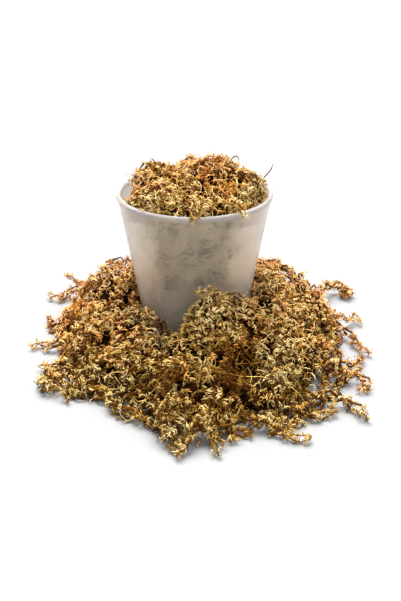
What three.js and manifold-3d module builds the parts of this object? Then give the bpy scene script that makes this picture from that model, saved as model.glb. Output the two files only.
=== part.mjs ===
// Dried long-fibre sphagnum moss: a loose heap of matted leafy stems around a frosted
// plastic planter that is stuffed with the same moss.
// Millimetres, +Z up. The origin is the middle of the planter's underside, on the
// surface that the planter and the heap stand on.
import * as THREE from "three";
import { mergeVertices } from "three/addons/utils/BufferGeometryUtils.js";
import Module from "manifold-3d";

const wasm = await Module();
wasm.setup();

// Driving dimensions.
const pot = {
  height: 120,
  rimRadius: 60,
  lipHeight: 4.2,
  lipWidth: 3.2,
  shoulderRadius: 58.6,
  baseRadius: 38,
  wall: 1.9,
  floor: 2.4,
  edge: 0.9, // small roundings of foot and lip
  sides: 32,
  holes: { count: 6, radius: 3.5, ring: 23, sides: 6 },
};
const gap = 0.35; // clearance between neighbouring pieces
const heap = {
  middle: [0, -32],
  // How far the heap reaches from its middle, every 22.5 degrees from +X towards +Y.
  reach: [118, 126, 138, 132, 124, 128, 134, 118, 107, 107, 110, 120, 146, 137, 136, 123],
  crown: 31,
  edgePower: 4, // a high power keeps the top flat and the edge steep
  edgeRound: 0.6,
  ripple: 2.2,
  tufts: 34, // counted before the ones that would stand in the planter are left out
  spread: 0.9, // share of the heap's reach that the tufts' middles fill
  potClearance: 56, // nearest that a tuft's middle comes to the planter's axis
  coreShare: 0.93, // how far out the matted cores reach
  slopeFrom: 0.75, // from here outwards the cores fall away faster
  slope: 55,
};
// Rises and hollows of the heap: x, y, how far they reach, how much they rise.
const hummocks = [
  [15, -62, 20, 36],
  [-12, -54, 15, -22],
  [-60, 38, 30, 20],
  [62, 42, 32, 17],
  [46, -40, 24, 12],
  [-44, -52, 17, 10],
  [4, 82, 30, 8],
  [38, -104, 15, -20],
  [-66, -66, 13, -16],
  [-24, -96, 12, -10],
  [0, -150, 22, 9],
  [88, -40, 22, 6],
];
const dome = {
  middle: [0, 8],
  reach: 62,
  base: 112,
  crown: 18,
  edgePower: 2.4,
  edgeRound: 0.8,
  ripple: 1.5,
  ringRadius: 37, // where the six outer tufts stand
  ringTurn: 0.4,
  coreReach: 53,
};
// Lumps of the moss that stands above the planter's rim.
const lumps = [
  [-31, 10, 13, 13],
  [17, 16, 13, 12],
  [41, 6, 13, 12],
  [-4, 40, 14, 3],
  [-8, 2, 11, 2],
  [24, -26, 12, -4],
];
const stem = {
  radius: 4.4,
  sides: 3,
  ringGap: 8.5, // from a wide ring to the narrow one after it
  waist: 0.5, // radius of a narrow ring as a share of a wide one
  lean: 0.3, // how far a wide ring leans to the tip, in ring gaps
  twist: 0.35, // turn from ring to ring
  ride: -1, // height of its middle line over the surface it lies on
  root: 2, // how deep its ends sink into the matted moss
  sway: 4,
};
const core = { sides: 8, sink: 4.5, least: 1.5 };
// The moss inside the planter: two wads, one on the other.
const wad = { split: 53, top: 104, inset: 8.3, sides: 10, stems: 3, stemInset: 5, wander: 0.7 };

// Minimal-standard generator, so that every draw is the same on each run.
function drawFrom(seed) {
  let state = (seed * 7919 + 104729) % 2147483647;
  const next = () => {
    state = (state * 16807) % 2147483647;
    return state / 2147483647;
  };
  for (let i = 0; i < 5; i++) next();
  return (low, high) => low + (high - low) * next();
}

const bumpsAt = (bumps, x, y) =>
  bumps.reduce((sum, [bx, by, reach, rise]) => {
    const away = Math.hypot(x - bx, y - by) / reach;
    return sum + rise * Math.exp(-away * away);
  }, 0);

// How far the heap reaches from its middle in a direction, eased between the listed ones.
function heapReach(angle) {
  const turns = angle / (2 * Math.PI);
  const step = (turns - Math.floor(turns)) * heap.reach.length;
  const from = heap.reach[Math.floor(step) % heap.reach.length];
  const to = heap.reach[(Math.floor(step) + 1) % heap.reach.length];
  return from + ((to - from) * (1 - Math.cos(Math.PI * (step % 1)))) / 2;
}

// 0 at the heap's middle, 1 at its edge.
function heapShare(x, y) {
  const dx = x - heap.middle[0];
  const dy = y - heap.middle[1];
  return Math.hypot(dx, dy) / heapReach(Math.atan2(dy, dx));
}

// Height of the heap's surface over the floor.
function heapHeight(x, y) {
  const inside = Math.max(0, 1 - heapShare(x, y) ** heap.edgePower);
  const body = heap.crown * inside ** heap.edgeRound;
  const ripple = heap.ripple * Math.sin(x / 9 + 1.3) * Math.cos(y / 11 - 0.4);
  return Math.max(0.5, body + Math.min(1, 2 * inside) * (bumpsAt(hummocks, x, y) + ripple));
}

// Height of the matted moss under the heap's stems, which falls away faster to the edge.
function heapCoreTop(x, y) {
  const fall = heap.slope * Math.max(0, heapShare(x, y) - heap.slopeFrom);
  return Math.max(core.least, heapHeight(x, y) - core.sink - fall);
}

// Height of the moss that stands out of the planter.
function domeHeight(x, y) {
  const away = Math.hypot(x - dome.middle[0], y - dome.middle[1]) / dome.reach;
  const inside = Math.max(0, 1 - away ** dome.edgePower) ** dome.edgeRound;
  const ripple = dome.ripple * Math.sin(x / 6 + 0.7) * Math.cos(y / 7);
  return dome.base + dome.crown * inside + inside * (bumpsAt(lumps, x, y) + ripple);
}

// A closed three.js geometry as a solid, without normals, uvs and faces of no area.
function solidOf(geometry) {
  const bare = geometry.index ? geometry.toNonIndexed() : geometry.clone();
  bare.deleteAttribute("normal");
  bare.deleteAttribute("uv");
  const merged = mergeVertices(bare, 1e-4);
  const corners = merged.index.array;
  const kept = [];
  for (let i = 0; i < corners.length; i += 3) {
    const [a, b, c] = corners.slice(i, i + 3);
    if (a !== b && b !== c && a !== c) kept.push(a, b, c);
  }
  return new wasm.Manifold(
    new wasm.Mesh({
      numProp: 3,
      vertProperties: merged.attributes.position.array,
      triVerts: new Uint32Array(kept),
    }),
  );
}

// The largest body of a solid: scraps that a cut has left loose are dropped.
function wholePiece(solid) {
  const bodies = solid.decompose();
  return bodies.reduce((best, body) => (body.volume() > best.volume() ? body : best));
}

function meshOf(solid, name, material) {
  const { numProp, vertProperties, triVerts } = solid.getMesh();
  const position = new Float32Array((vertProperties.length / numProp) * 3);
  for (let i = 0; i < position.length / 3; i++)
    position.set(vertProperties.subarray(i * numProp, i * numProp + 3), i * 3);
  const geometry = new THREE.BufferGeometry()
    .setAttribute("position", new THREE.BufferAttribute(position, 3))
    .setIndex(new THREE.BufferAttribute(triVerts, 1));
  geometry.computeVertexNormals();
  const mesh = new THREE.Mesh(geometry, material);
  mesh.name = name;
  return mesh;
}

// A leafy stem along a route: a cone whose rings are wide at each whorl of branches,
// narrow between them, turned from ring to ring, and drawn towards the tip.
function leafyStem(points, radius) {
  const route = new THREE.CatmullRomCurve3(points.map((p) => new THREE.Vector3(...p)));
  const rings = Math.max(4, 2 * Math.round(route.getLength() / stem.ringGap / 2));
  const cone = new THREE.ConeGeometry(1, 1, stem.sides, rings);
  const place = cone.attributes.position;
  for (let i = 0; i < place.count; i++) {
    const along = Math.min(1, Math.max(0, place.getY(i) + 0.5));
    const ring = Math.round(along * rings);
    const wide = ring % 2 === 1;
    const here = route.getPointAt(along);
    const ahead = route.getTangentAt(along);
    const side = new THREE.Vector3(ahead.y, -ahead.x, 0).normalize();
    const up = new THREE.Vector3().crossVectors(side, ahead);
    if (Math.hypot(place.getX(i), place.getZ(i)) > 1e-6) {
      const halfStep = wide ? Math.PI / stem.sides : 0;
      const turn = Math.atan2(place.getZ(i), place.getX(i)) + halfStep + stem.twist * ring;
      const swell = 0.55 + 0.45 * Math.sin(Math.PI * Math.min(1, 0.25 + along * 0.85));
      const reach = radius * swell * (wide ? 1 : stem.waist);
      here.addScaledVector(side, reach * Math.cos(turn)).addScaledVector(up, reach * Math.sin(turn));
      if (wide) here.addScaledVector(ahead, stem.lean * stem.ringGap);
    }
    place.setXYZ(i, here.x, here.y, here.z);
  }
  return solidOf(cone);
}

// ---- planter
function potProfile() {
  const { height, rimRadius, lipHeight, lipWidth, shoulderRadius, baseRadius, edge } = pot;
  return [
    [0, 0],
    [baseRadius - edge, 0],
    [baseRadius, edge],
    [shoulderRadius, height - lipHeight],
    [rimRadius, height - lipHeight + edge],
    [rimRadius, height - edge],
    [rimRadius - edge, height],
    [rimRadius - lipWidth + edge, height],
    [rimRadius - lipWidth, height - edge],
    [shoulderRadius - pot.wall, height - lipHeight - 1],
    [baseRadius - pot.wall, pot.floor],
    [0, pot.floor],
  ].map(([radius, z]) => new THREE.Vector2(radius, z));
}

function buildPot() {
  const shell = new THREE.LatheGeometry(potProfile(), pot.sides).rotateX(Math.PI / 2);
  let solid = solidOf(shell);
  const { count, radius, ring, sides } = pot.holes;
  for (let i = 0; i < count; i++) {
    const angle = ((i + 0.5) / count) * 2 * Math.PI;
    const drill = new THREE.CylinderGeometry(radius, radius, 4 * pot.floor, sides)
      .rotateX(Math.PI / 2)
      .translate(ring * Math.cos(angle), ring * Math.sin(angle), 0);
    solid = solid.subtract(solidOf(drill));
  }
  return solid;
}

// Outer radius of the planter's wall at a height.
const wallRadius = (z) =>
  pot.baseRadius + ((pot.shoulderRadius - pot.baseRadius) * z) / (pot.height - pot.lipHeight);

// A cone frustum between two heights that stands off the planter's wall by an amount.
function wallCone(low, high, off, sides) {
  const grow = off > 0 ? 1 / Math.cos(Math.PI / sides) : 1;
  const cone = new THREE.CylinderGeometry(
    (wallRadius(high) + off) * grow,
    (wallRadius(low) + off) * grow,
    high - low,
    sides,
  );
  return solidOf(cone.rotateX(Math.PI / 2).translate(0, 0, (low + high) / 2));
}

// ---- tufts
const heapTuft = {
  rings: [12, 25, 38], // radii of the core's rings of corners
  bottom: 0,
  reach: 23.5, // how far its stems reach from its middle
  sideBySide: 4,
  spacing: 12.5,
  over: 6.5, // how much higher a stem rides that crosses others
  surface: heapHeight,
  coreTop: heapCoreTop,
  keepIn: keepInHeap,
};
const domeTuft = {
  rings: [10, 20, 30],
  bottom: wad.top,
  reach: 19.5,
  sideBySide: 3,
  spacing: 12.5,
  over: 2.5,
  surface: domeHeight,
  coreTop: (x, y) => domeHeight(x, y) - core.sink,
  keepIn: keepInMouth,
};

function keepInHeap(x, y) {
  const pull = Math.min(1, heap.coreShare / heapShare(x, y));
  return [
    heap.middle[0] + (x - heap.middle[0]) * pull,
    heap.middle[1] + (y - heap.middle[1]) * pull,
  ];
}

function keepInMouth(x, y) {
  const pull = Math.min(1, dome.coreReach / Math.hypot(x, y));
  return [x * pull, y * pull];
}

// The matted middle of a tuft, under its stems: a low patch that follows the surface.
function tuftCore([x, y], { rings, bottom, coreTop, keepIn }) {
  const top = rings.toReversed().map((radius) => new THREE.Vector2(radius, 1));
  const corner = new THREE.Vector2(rings[rings.length - 1], 0);
  const profile = [new THREE.Vector2(0, 0), corner, ...top, new THREE.Vector2(0, 1)];
  const patch = new THREE.LatheGeometry(profile, core.sides);
  const place = patch.attributes.position;
  for (let i = 0; i < place.count; i++) {
    const [px, py] = keepIn(x + place.getX(i), y - place.getZ(i));
    place.setXYZ(i, px, py, place.getY(i) < 0.5 ? bottom : coreTop(px, py));
  }
  return solidOf(patch);
}

// The stems of one tuft: a layer that lies side by side and a few that cross over it,
// each one wavy, with both ends pushed down into the core.
function dressTuft(solid, [x, y], kind, crossing, draw) {
  const { reach, sideBySide, spacing, over, surface, coreTop } = kind;
  const turn = draw(0, Math.PI);
  [sideBySide, crossing].forEach((count, layer) => {
    const heading = turn + layer * draw(0.9, 1.5);
    for (let i = 0; i < count; i++) {
      const aside = (i - (count - 1) / 2) * spacing + draw(-2, 2);
      const half = Math.sqrt(Math.max(100, reach * reach - aside * aside)) * draw(0.85, 1.1);
      const phase = draw(0, 2 * Math.PI);
      const points = [];
      for (let k = 0; k <= 6; k++) {
        const along = k / 3 - 1;
        const sway = aside + stem.sway * Math.sin(2.4 * along + phase);
        const px = x + half * along * Math.cos(heading) - sway * Math.sin(heading);
        const py = y + half * along * Math.sin(heading) + sway * Math.cos(heading);
        const lift = stem.ride + layer * over + 1.2 * Math.sin(3.1 * along + 2 * phase);
        const above = Math.max(stem.radius * 0.6, surface(px, py) + lift);
        const rooted = Math.abs(along) ** 4;
        points.push([px, py, above + (coreTop(px, py) - stem.root - above) * rooted]);
      }
      solid = solid.add(leafyStem(points, stem.radius * draw(0.85, 1.15)));
    }
  });
  return solid;
}

// A stem that grows out of the heap's edge and droops to the floor.
function fringeRoute([x, y], length, draw) {
  const heading = Math.atan2(y - heap.middle[1], x - heap.middle[0]) + draw(-0.7, 0.7);
  const bend = draw(-0.9, 0.9);
  const points = [];
  for (let i = 0; i <= 5; i++) {
    const t = i / 5;
    const angle = heading + bend * (t - 0.3);
    const out = 6 + length * t;
    const px = x + out * Math.cos(angle);
    const py = y + out * Math.sin(angle);
    const lie = stem.radius * 0.75 + 2 * Math.max(0, Math.sin(5 * t + bend));
    const above = Math.max(lie, heapHeight(px, py) + stem.ride);
    points.push([px, py, above + (heapCoreTop(px, py) - stem.root - above) * (1 - t) ** 4]);
  }
  return points;
}

// Middles of the heap's tufts: a sunflower spiral over the heap, clear of the planter.
function tuftMiddles() {
  const golden = Math.PI * (3 - Math.sqrt(5));
  const found = [];
  for (let n = 0; n < heap.tufts; n++) {
    const out = Math.sqrt((n + 0.5) / heap.tufts) * heap.spread * heapReach(n * golden);
    const x = heap.middle[0] + out * Math.cos(n * golden);
    const y = heap.middle[1] + out * Math.sin(n * golden);
    if (Math.hypot(x, y) > heap.potClearance) found.push([x, y]);
  }
  return found;
}

// Cuts a tuft back from each neighbour by the plane halfway between their middles.
function cutToCell(solid, here, others) {
  for (const other of others) {
    const dx = here[0] - other[0];
    const dy = here[1] - other[1];
    const away = Math.hypot(dx, dy);
    if (away < 0.1) continue;
    const halfway = ((here[0] + other[0]) * dx + (here[1] + other[1]) * dy) / (2 * away);
    solid = solid.trimByPlane([dx / away, dy / away, 0], halfway + gap / 2);
  }
  return solid;
}

// Longer stems that trail from the heap's edge over the floor: radius, then x, y, z of
// points along them. Each grows out of the tuft that its third point is nearest to.
const trails = [
  { radius: 3.3, line: [[-102, 66, 9], [-108, 70, 6], [-111, 66, 4], [-115, 57, 4], [-126, 66, 5]] },
  { radius: 2.2, line: [[-96, 65, 14], [-100, 64, 16], [-105, 63, 20], [-110, 62, 24]] },
  { radius: 2.9, line: [[-100, -30, 8], [-108, -36, 5], [-114, -35, 4], [-122, -28, 4], [-127, -36, 3]] },
  { radius: 5, line: [[-92, -84, 8], [-105, -83, 7], [-112, -92, 7], [-108, -105, 6], [-98, -104, 5]] },
  { radius: 4.4, line: [[108, 60, 12], [116, 74, 9], [124, 77, 7], [132, 69, 6], [125, 60, 5]] },
  { radius: 2.4, line: [[109, 5, 10], [119, 13, 9], [124, 8, 6], [131, 18, 6], [137, 9, 3]] },
  { radius: 3.5, line: [[112, -8, 10], [120, -14, 8], [126, -28, 6], [130, -40, 5], [137, -46, 4]] },
  { radius: 3, line: [[106, -72, 10], [115, -73, 8], [124, -63, 5], [129, -52, 4]] },
  { radius: 3.2, line: [[108, -92, 9], [118, -86, 7], [126, -91, 5], [126, -101, 4], [117, -104, 3]] },
  { radius: 4.3, line: [[94, -121, 9], [103, -124, 7], [110, -127, 6], [115, -134, 5], [122, -146, 4]] },
  { radius: 3.3, line: [[71, -135, 8], [77, -142, 5], [90, -142, 4], [97, -135, 4], [99, -126, 4]] },
  { radius: 3.9, line: [[47, -157, 9], [56, -163, 5], [64, -169, 4], [71, -173, 4], [80, -169, 4]] },
  { radius: 4.2, line: [[4, -170, 14], [-4, -181, 9], [-9, -189, 5], [-11, -196, 3]] },
  { radius: 2.7, line: [[12, -168, 10], [13, -184, 6], [17, -192, 3]] },
];

// A trail's line with a root in the tuft that it grows from.
function trailRoute({ line }, [x, y]) {
  const rootX = x + (line[0][0] - x) * 0.5;
  const rootY = y + (line[0][1] - y) * 0.5;
  return [[rootX, rootY, heapHeight(rootX, rootY) * 0.5], ...line];
}

// The tuft whose middle is nearest to a place.
const nearestTuft = (middles, x, y) =>
  middles.reduce((best, [mx, my], i) => {
    const nearest = Math.hypot(middles[best][0] - x, middles[best][1] - y);
    return Math.hypot(mx - x, my - y) < nearest ? i : best;
  }, 0);

// ---- moss in the planter
function buildWad(low, high, seed) {
  const draw = drawFrom(seed);
  let solid = wallCone(low, high, -pot.wall - wad.inset, wad.sides);
  for (let i = 0; i < wad.stems; i++) {
    const start = ((i + draw(0.1, 0.9)) * 2 * Math.PI) / wad.stems;
    const points = [];
    for (let k = 0; k <= 6; k++) {
      const t = k / 6;
      const z = low + (high - low) * (0.12 + 0.76 * t);
      const out = wallRadius(z) - pot.wall - wad.stemInset - wad.inset * Math.abs(2 * t - 1) ** 4;
      const angle = start + wad.wander * Math.sin(4.2 * t + i);
      points.push([out * Math.cos(angle), out * Math.sin(angle), z]);
    }
    solid = solid.add(leafyStem(points, stem.radius));
  }
  return wholePiece(solid.trimByPlane([0, 0, 1], low).trimByPlane([0, 0, -1], -high));
}

const domeTufts = [dome.middle];
for (let i = 0; i < 6; i++) {
  const angle = (i * Math.PI) / 3 + dome.ringTurn;
  domeTufts.push([dome.ringRadius * Math.cos(angle), dome.ringRadius * Math.sin(angle)]);
}
// What the tufts at the mouth keep clear of: the lip, up to its top.
const lipHull = { low: 90, outer: 90, sides: 24 };
const aroundMouth = solidOf(
  new THREE.CylinderGeometry(lipHull.outer, lipHull.outer, pot.height + gap - lipHull.low, lipHull.sides)
    .rotateX(Math.PI / 2)
    .translate(0, 0, (pot.height + gap + lipHull.low) / 2),
).subtract(wallCone(lipHull.low - 10, pot.height + 10, -pot.lipWidth, lipHull.sides));

function buildDomeTuft(here, index) {
  let solid = tuftCore(here, domeTuft);
  solid = dressTuft(solid, here, domeTuft, 1, drawFrom(300 + index));
  solid = cutToCell(solid, here, domeTufts).trimByPlane([0, 0, 1], domeTuft.bottom + gap);
  return wholePiece(solid.subtract(aroundMouth));
}

// ---- the whole
const materials = {
  frosted: new THREE.MeshStandardMaterial({ color: 0xd8cfcd, roughness: 0.35, metalness: 0 }),
  straw: new THREE.MeshStandardMaterial({ color: 0xc39a54, roughness: 0.95, metalness: 0 }),
  olive: new THREE.MeshStandardMaterial({ color: 0x94864a, roughness: 0.95, metalness: 0 }),
  rust: new THREE.MeshStandardMaterial({ color: 0xa2652f, roughness: 0.95, metalness: 0 }),
};

const group = new THREE.Group();
group.add(meshOf(buildPot(), "planter", materials.frosted));

const numbered = (word, i) => word + "_" + String(i + 1).padStart(2, "0");
const potHull = wallCone(-1, pot.height - pot.lipHeight, gap, 32);
const middles = tuftMiddles();
middles.forEach((here, index) => {
  const draw = drawFrom(index + 1);
  const [x, y] = here;
  let solid = tuftCore(here, heapTuft);
  solid = dressTuft(solid, here, heapTuft, index % 2, draw);
  const own = trails.filter(({ line }) => nearestTuft(middles, line[2][0], line[2][1]) === index);
  for (const trail of own) solid = solid.add(leafyStem(trailRoute(trail, here), trail.radius));
  const fringes = heapShare(x, y) > 0.7 ? Math.max(1, 2 - own.length) : 0;
  for (let i = 0; i < fringes; i++)
    solid = solid.add(leafyStem(fringeRoute(here, draw(22, 34), draw), stem.radius));
  solid = cutToCell(solid, here, middles).subtract(potHull).trimByPlane([0, 0, 1], 0);
  const tint = y > 20 ? materials.rust : index % 3 === 0 ? materials.olive : materials.straw;
  group.add(meshOf(wholePiece(solid), numbered("heap_tuft", index), tint));
});

group.add(meshOf(buildWad(pot.floor + gap, wad.split, 201), "potted_wad_low", materials.olive));
group.add(meshOf(buildWad(wad.split + gap, wad.top, 202), "potted_wad_high", materials.straw));
domeTufts.forEach((here, i) => {
  const tint = i % 2 ? materials.straw : materials.rust;
  group.add(meshOf(buildDomeTuft(here, i), numbered("dome_tuft", i), tint));
});

export default group;
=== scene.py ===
import math

import bmesh
import bpy
import numpy as np
from mathutils import Matrix, Vector, noise


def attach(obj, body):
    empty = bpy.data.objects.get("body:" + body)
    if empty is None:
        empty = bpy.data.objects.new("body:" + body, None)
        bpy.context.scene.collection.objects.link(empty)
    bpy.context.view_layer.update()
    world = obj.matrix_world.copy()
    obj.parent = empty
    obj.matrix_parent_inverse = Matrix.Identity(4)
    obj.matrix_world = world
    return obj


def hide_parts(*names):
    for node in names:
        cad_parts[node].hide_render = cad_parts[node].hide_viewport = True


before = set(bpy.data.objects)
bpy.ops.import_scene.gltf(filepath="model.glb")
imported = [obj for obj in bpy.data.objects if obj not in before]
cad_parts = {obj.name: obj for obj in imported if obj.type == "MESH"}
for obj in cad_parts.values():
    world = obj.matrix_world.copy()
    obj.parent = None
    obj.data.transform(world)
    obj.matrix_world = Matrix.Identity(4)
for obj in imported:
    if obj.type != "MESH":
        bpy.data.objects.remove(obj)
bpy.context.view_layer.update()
mm = 0.001  # moss is laid out in millimetres and turned to metres when its mesh is made
print("frame loaded:", len(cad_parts), "solids")


def fromHex(text):
    values = [int(text[i : i + 2], 16) / 255 for i in (1, 3, 5)]
    return (*[v / 12.92 if v <= 0.04045 else ((v + 0.055) / 1.055) ** 2.4 for v in values], 1)


# a finish and the ways its nodes are added: an output is wired in, anything else is set
class Finish:
    def __init__(self, name):
        self.made = bpy.data.materials.new(name)
        self.made.use_nodes = True
        self.nodes = self.made.node_tree.nodes

    def wire(self, node, inputs):
        for socket, value in inputs.items():
            if isinstance(value, bpy.types.NodeSocket):
                self.made.node_tree.links.new(value, node.inputs[socket])
            else:
                node.inputs[socket].default_value = value
        return node

    def add(self, kind, output, inputs):
        return self.wire(self.nodes.new("ShaderNode" + kind), inputs).outputs[output]

    def figure(self, operation, *values):
        node = self.nodes.new("ShaderNodeMath")
        node.operation = operation
        return self.wire(node, dict(enumerate(values))).outputs["Value"]

    def rescale(self, value, low, high, toLow=0, toHigh=1):
        ends = {"From Min": low, "From Max": high, "To Min": toLow, "To Max": toHigh}
        return self.add("MapRange", "Result", {"Value": value, **ends})

    def blend(self, share, one, other, way="MIX"):
        node = self.nodes.new("ShaderNodeMix")
        node.data_type = "RGBA"
        node.blend_type = way
        return self.wire(node, {"Factor": share, "A": one, "B": other}).outputs["Result"]

    def ramp(self, value, stops):
        colour = self.add("ValToRGB", "Color", {"Fac": value})
        elements = colour.node.color_ramp.elements
        elements[0].position = stops[0][0]
        elements[0].color = fromHex(stops[0][1])
        elements[1].position = stops[-1][0]
        elements[1].color = fromHex(stops[-1][1])
        for place, shade in stops[1:-1]:
            elements.new(place).color = fromHex(shade)
        return colour

    def dress(self, inputs):
        self.wire(self.nodes["Principled BSDF"], inputs)
        return self.made


def addObject(name, data):
    made = bpy.data.objects.new(name, data)
    bpy.context.collection.objects.link(made)
    return made


# camera, lights and the sheet that everything stands on
studio = {
    "cameraPlace": (0.0046, -0.851, 0.413),
    "cameraDown": 24.35,
    "lens": 70,
    "sensor": 36,
    "skyStrength": 1.05,
    "keyFrom": (-0.12, 0.5, 1.0),
    "keyAngle": 50,
    "keyPower": 9.5,
    "fillPlace": (0.5, -1.3, 0.8),
    "fillAim": (0, -0.03, 0.05),
    "fillSize": 0.8,
    "fillPower": 7,
    "sheetSize": 12,
    "sheetColour": (0.265, 0.265, 0.265, 1),
    "sheetRoughness": 0.9,
    "sheetShine": 0.1,
}


def addStudio():
    lens = bpy.data.cameras.new("camera")
    lens.lens = studio["lens"]
    lens.sensor_width = studio["sensor"]
    camera = addObject("camera", lens)
    camera.location = studio["cameraPlace"]
    camera.rotation_euler = (math.radians(90 - studio["cameraDown"]), 0, 0)
    bpy.context.scene.camera = camera
    key = bpy.data.lights.new("key", "SUN")
    key.energy = studio["keyPower"]
    key.angle = math.radians(studio["keyAngle"])
    lamp = addObject("key", key)
    lamp.rotation_euler = (-Vector(studio["keyFrom"])).to_track_quat("-Z", "Y").to_euler()
    fill = bpy.data.lights.new("fill", "AREA")
    fill.shape = "DISK"
    fill.size = studio["fillSize"]
    fill.energy = studio["fillPower"]
    lamp = addObject("fill", fill)
    lamp.location = studio["fillPlace"]
    aim = Vector(studio["fillAim"]) - lamp.location
    lamp.rotation_euler = aim.to_track_quat("-Z", "Y").to_euler()
    world = bpy.data.worlds.new("studio")
    world.use_nodes = True
    sky = world.node_tree.nodes["Background"]
    sky.inputs["Color"].default_value = (1, 1, 1, 1)
    sky.inputs["Strength"].default_value = studio["skyStrength"]
    bpy.context.scene.world = world
    bpy.context.scene.view_settings.view_transform = "Standard"


def addSheet():
    bm = bmesh.new()
    bmesh.ops.create_grid(bm, x_segments=1, y_segments=1, size=studio["sheetSize"] / 2)
    mesh = bpy.data.meshes.new("sheet")
    bm.to_mesh(mesh)
    bm.free()
    mesh.materials.append(Finish("sheetPaper").dress({
        "Base Color": studio["sheetColour"],
        "Roughness": studio["sheetRoughness"],
        "Specular IOR Level": studio["sheetShine"],
    }))
    sheet = addObject("sheet", mesh)


addStudio()
addSheet()
print("studio set")


# repeatable draws, the same ones that laid out the solids
def drawsFrom(seed):
    state = (seed * 7919 + 104729) % 2147483647

    def draw(low, high):
        nonlocal state
        state = state * 16807 % 2147483647
        return low + (high - low) * state / 2147483647

    for _ in range(5):
        draw(0, 1)
    return draw


# the planter
planter = {
    "height": 120,
    "rimRadius": 60,
    "lipHeight": 4.2,
    "lipWidth": 3.2,
    "shoulderRadius": 58.6,
    "baseRadius": 38,
    "wall": 1.9,
    "floor": 2.4,
    "edge": 0.9,
    "turns": 96,
    "holeCount": 6,
    "holeRadius": 3.5,
    "holeRing": 23,
    "holeSides": 16,
    "sharpFrom": 40,
    "colour": "#DDD0BC",
    "cloudy": "#AFA896",
    "cloudGrain": 65,
    "cloudRange": (0.35, 0.7),
    "mossy": "#FFEFD2",
    # moss seen through it: grain and shift of the upright and the lying curls
    "curls": (((85, 85, 55), (2, 0, 0)), ((55, 55, 110), (7, 3, 5))),
    "curlWidth": 0.11,
    "curlShare": 0.46,
    # painted light lightens the wall toward its left and right edges; the wall is also paler toward its base
    "paleEdgesAndBase": "#FFF5EC",
    "paintedEdgeLight": (0.45, 0.95),  # shares of the way out to either side between which painted light turns the wall paler
    "paleBase": (64, 22),  # heights between which it turns paler downwards
    "lipColour": "#DDD8D5",
    "roughness": 0.3,
    "roughnessStray": 0.03,
    "glossGrain": 60,
    "bending": 1.38,
    "clearness": 0.72,
}


def wallRadius(z):
    rise = planter["height"] - planter["lipHeight"]
    return planter["baseRadius"] + (planter["shoulderRadius"] - planter["baseRadius"]) * z / rise


def frostedPlastic():
    p = planter
    plastic = Finish("frostedPlastic")
    place = plastic.add("TexCoord", "Object", {})
    cloud = plastic.add("TexNoise", "Fac", {
        "Vector": place, "Scale": p["cloudGrain"], "Detail": 3, "Distortion": 0.4,
    })
    colour = plastic.ramp(cloud, tuple(zip(p["cloudRange"], (p["cloudy"], p["colour"]))))
    curls = []
    for grain, shift in p["curls"]:
        laid = plastic.add("Mapping", "Vector", {"Vector": place, "Location": shift, "Scale": grain})
        wisp = plastic.add("TexNoise", "Fac", {"Vector": laid, "Scale": 1, "Detail": 2, "Distortion": 0.6})
        off = plastic.figure("ABSOLUTE", plastic.figure("SUBTRACT", wisp, 0.5))
        curls.append(plastic.rescale(off, 0, p["curlWidth"], p["curlShare"], 0))
        curls[-1].node.interpolation_type = "SMOOTHSTEP"
    colour = plastic.blend(plastic.figure("MAXIMUM", *curls), colour, fromHex(p["mossy"]))
    height = plastic.add("SeparateXYZ", "Z", {"Vector": place})
    aside = plastic.figure("ABSOLUTE", height.node.outputs["X"])
    taper = (p["shoulderRadius"] - p["baseRadius"]) / p["height"]
    wall = plastic.figure("MULTIPLY_ADD", height, taper, p["baseRadius"] * mm)
    # painted light toward the two sides, and paler toward the base
    sides = plastic.rescale(plastic.figure("DIVIDE", aside, wall), *p["paintedEdgeLight"])
    base = plastic.rescale(height, *[z * mm for z in p["paleBase"]])
    colour = plastic.blend(plastic.figure("MAXIMUM", sides, base), colour, fromHex(p["paleEdgesAndBase"]))
    lipFoot = p["height"] - p["lipHeight"]
    lip = plastic.rescale(height, (lipFoot - 1) * mm, (lipFoot + 1) * mm)
    colour = plastic.blend(lip, colour, fromHex(p["lipColour"]))
    grain = plastic.add("TexNoise", "Fac", {"Vector": place, "Scale": p["glossGrain"]})
    stray = p["roughnessStray"]
    gloss = plastic.rescale(grain, 0, 1, p["roughness"] - stray, p["roughness"] + stray)
    return plastic.dress({
        "Base Color": colour, "Roughness": gloss, "IOR": p["bending"], "Transmission Weight": p["clearness"],
    })


# lays both sides of the floor with its drain holes left out, and lines the holes
def drillFloor(bm):
    holes = []
    for level in (0, planter["floor"] * mm):
        around = [edge for edge in bm.edges if edge.is_boundary and abs(edge.verts[0].co.z - level) < 1e-6]
        level = Matrix.Translation((0, 0, level))
        for i in range(planter["holeCount"]):
            turn = Matrix.Rotation((i + 0.5) * 2 * math.pi / planter["holeCount"], 4, "Z")
            out = Matrix.Translation((planter["holeRing"] * mm, 0, 0))
            ring = bmesh.ops.create_circle(
                bm, cap_ends=False, segments=planter["holeSides"], radius=planter["holeRadius"] * mm,
                matrix=level @ turn @ out,
            )["verts"]
            holes.append(list({edge for vert in ring for edge in vert.link_edges}))
            around += holes[-1]
        bmesh.ops.triangle_fill(bm, use_beauty=True, edges=around)
    for low, high in zip(holes, holes[planter["holeCount"]:]):
        bmesh.ops.bridge_loops(bm, edges=low + high)


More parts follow.
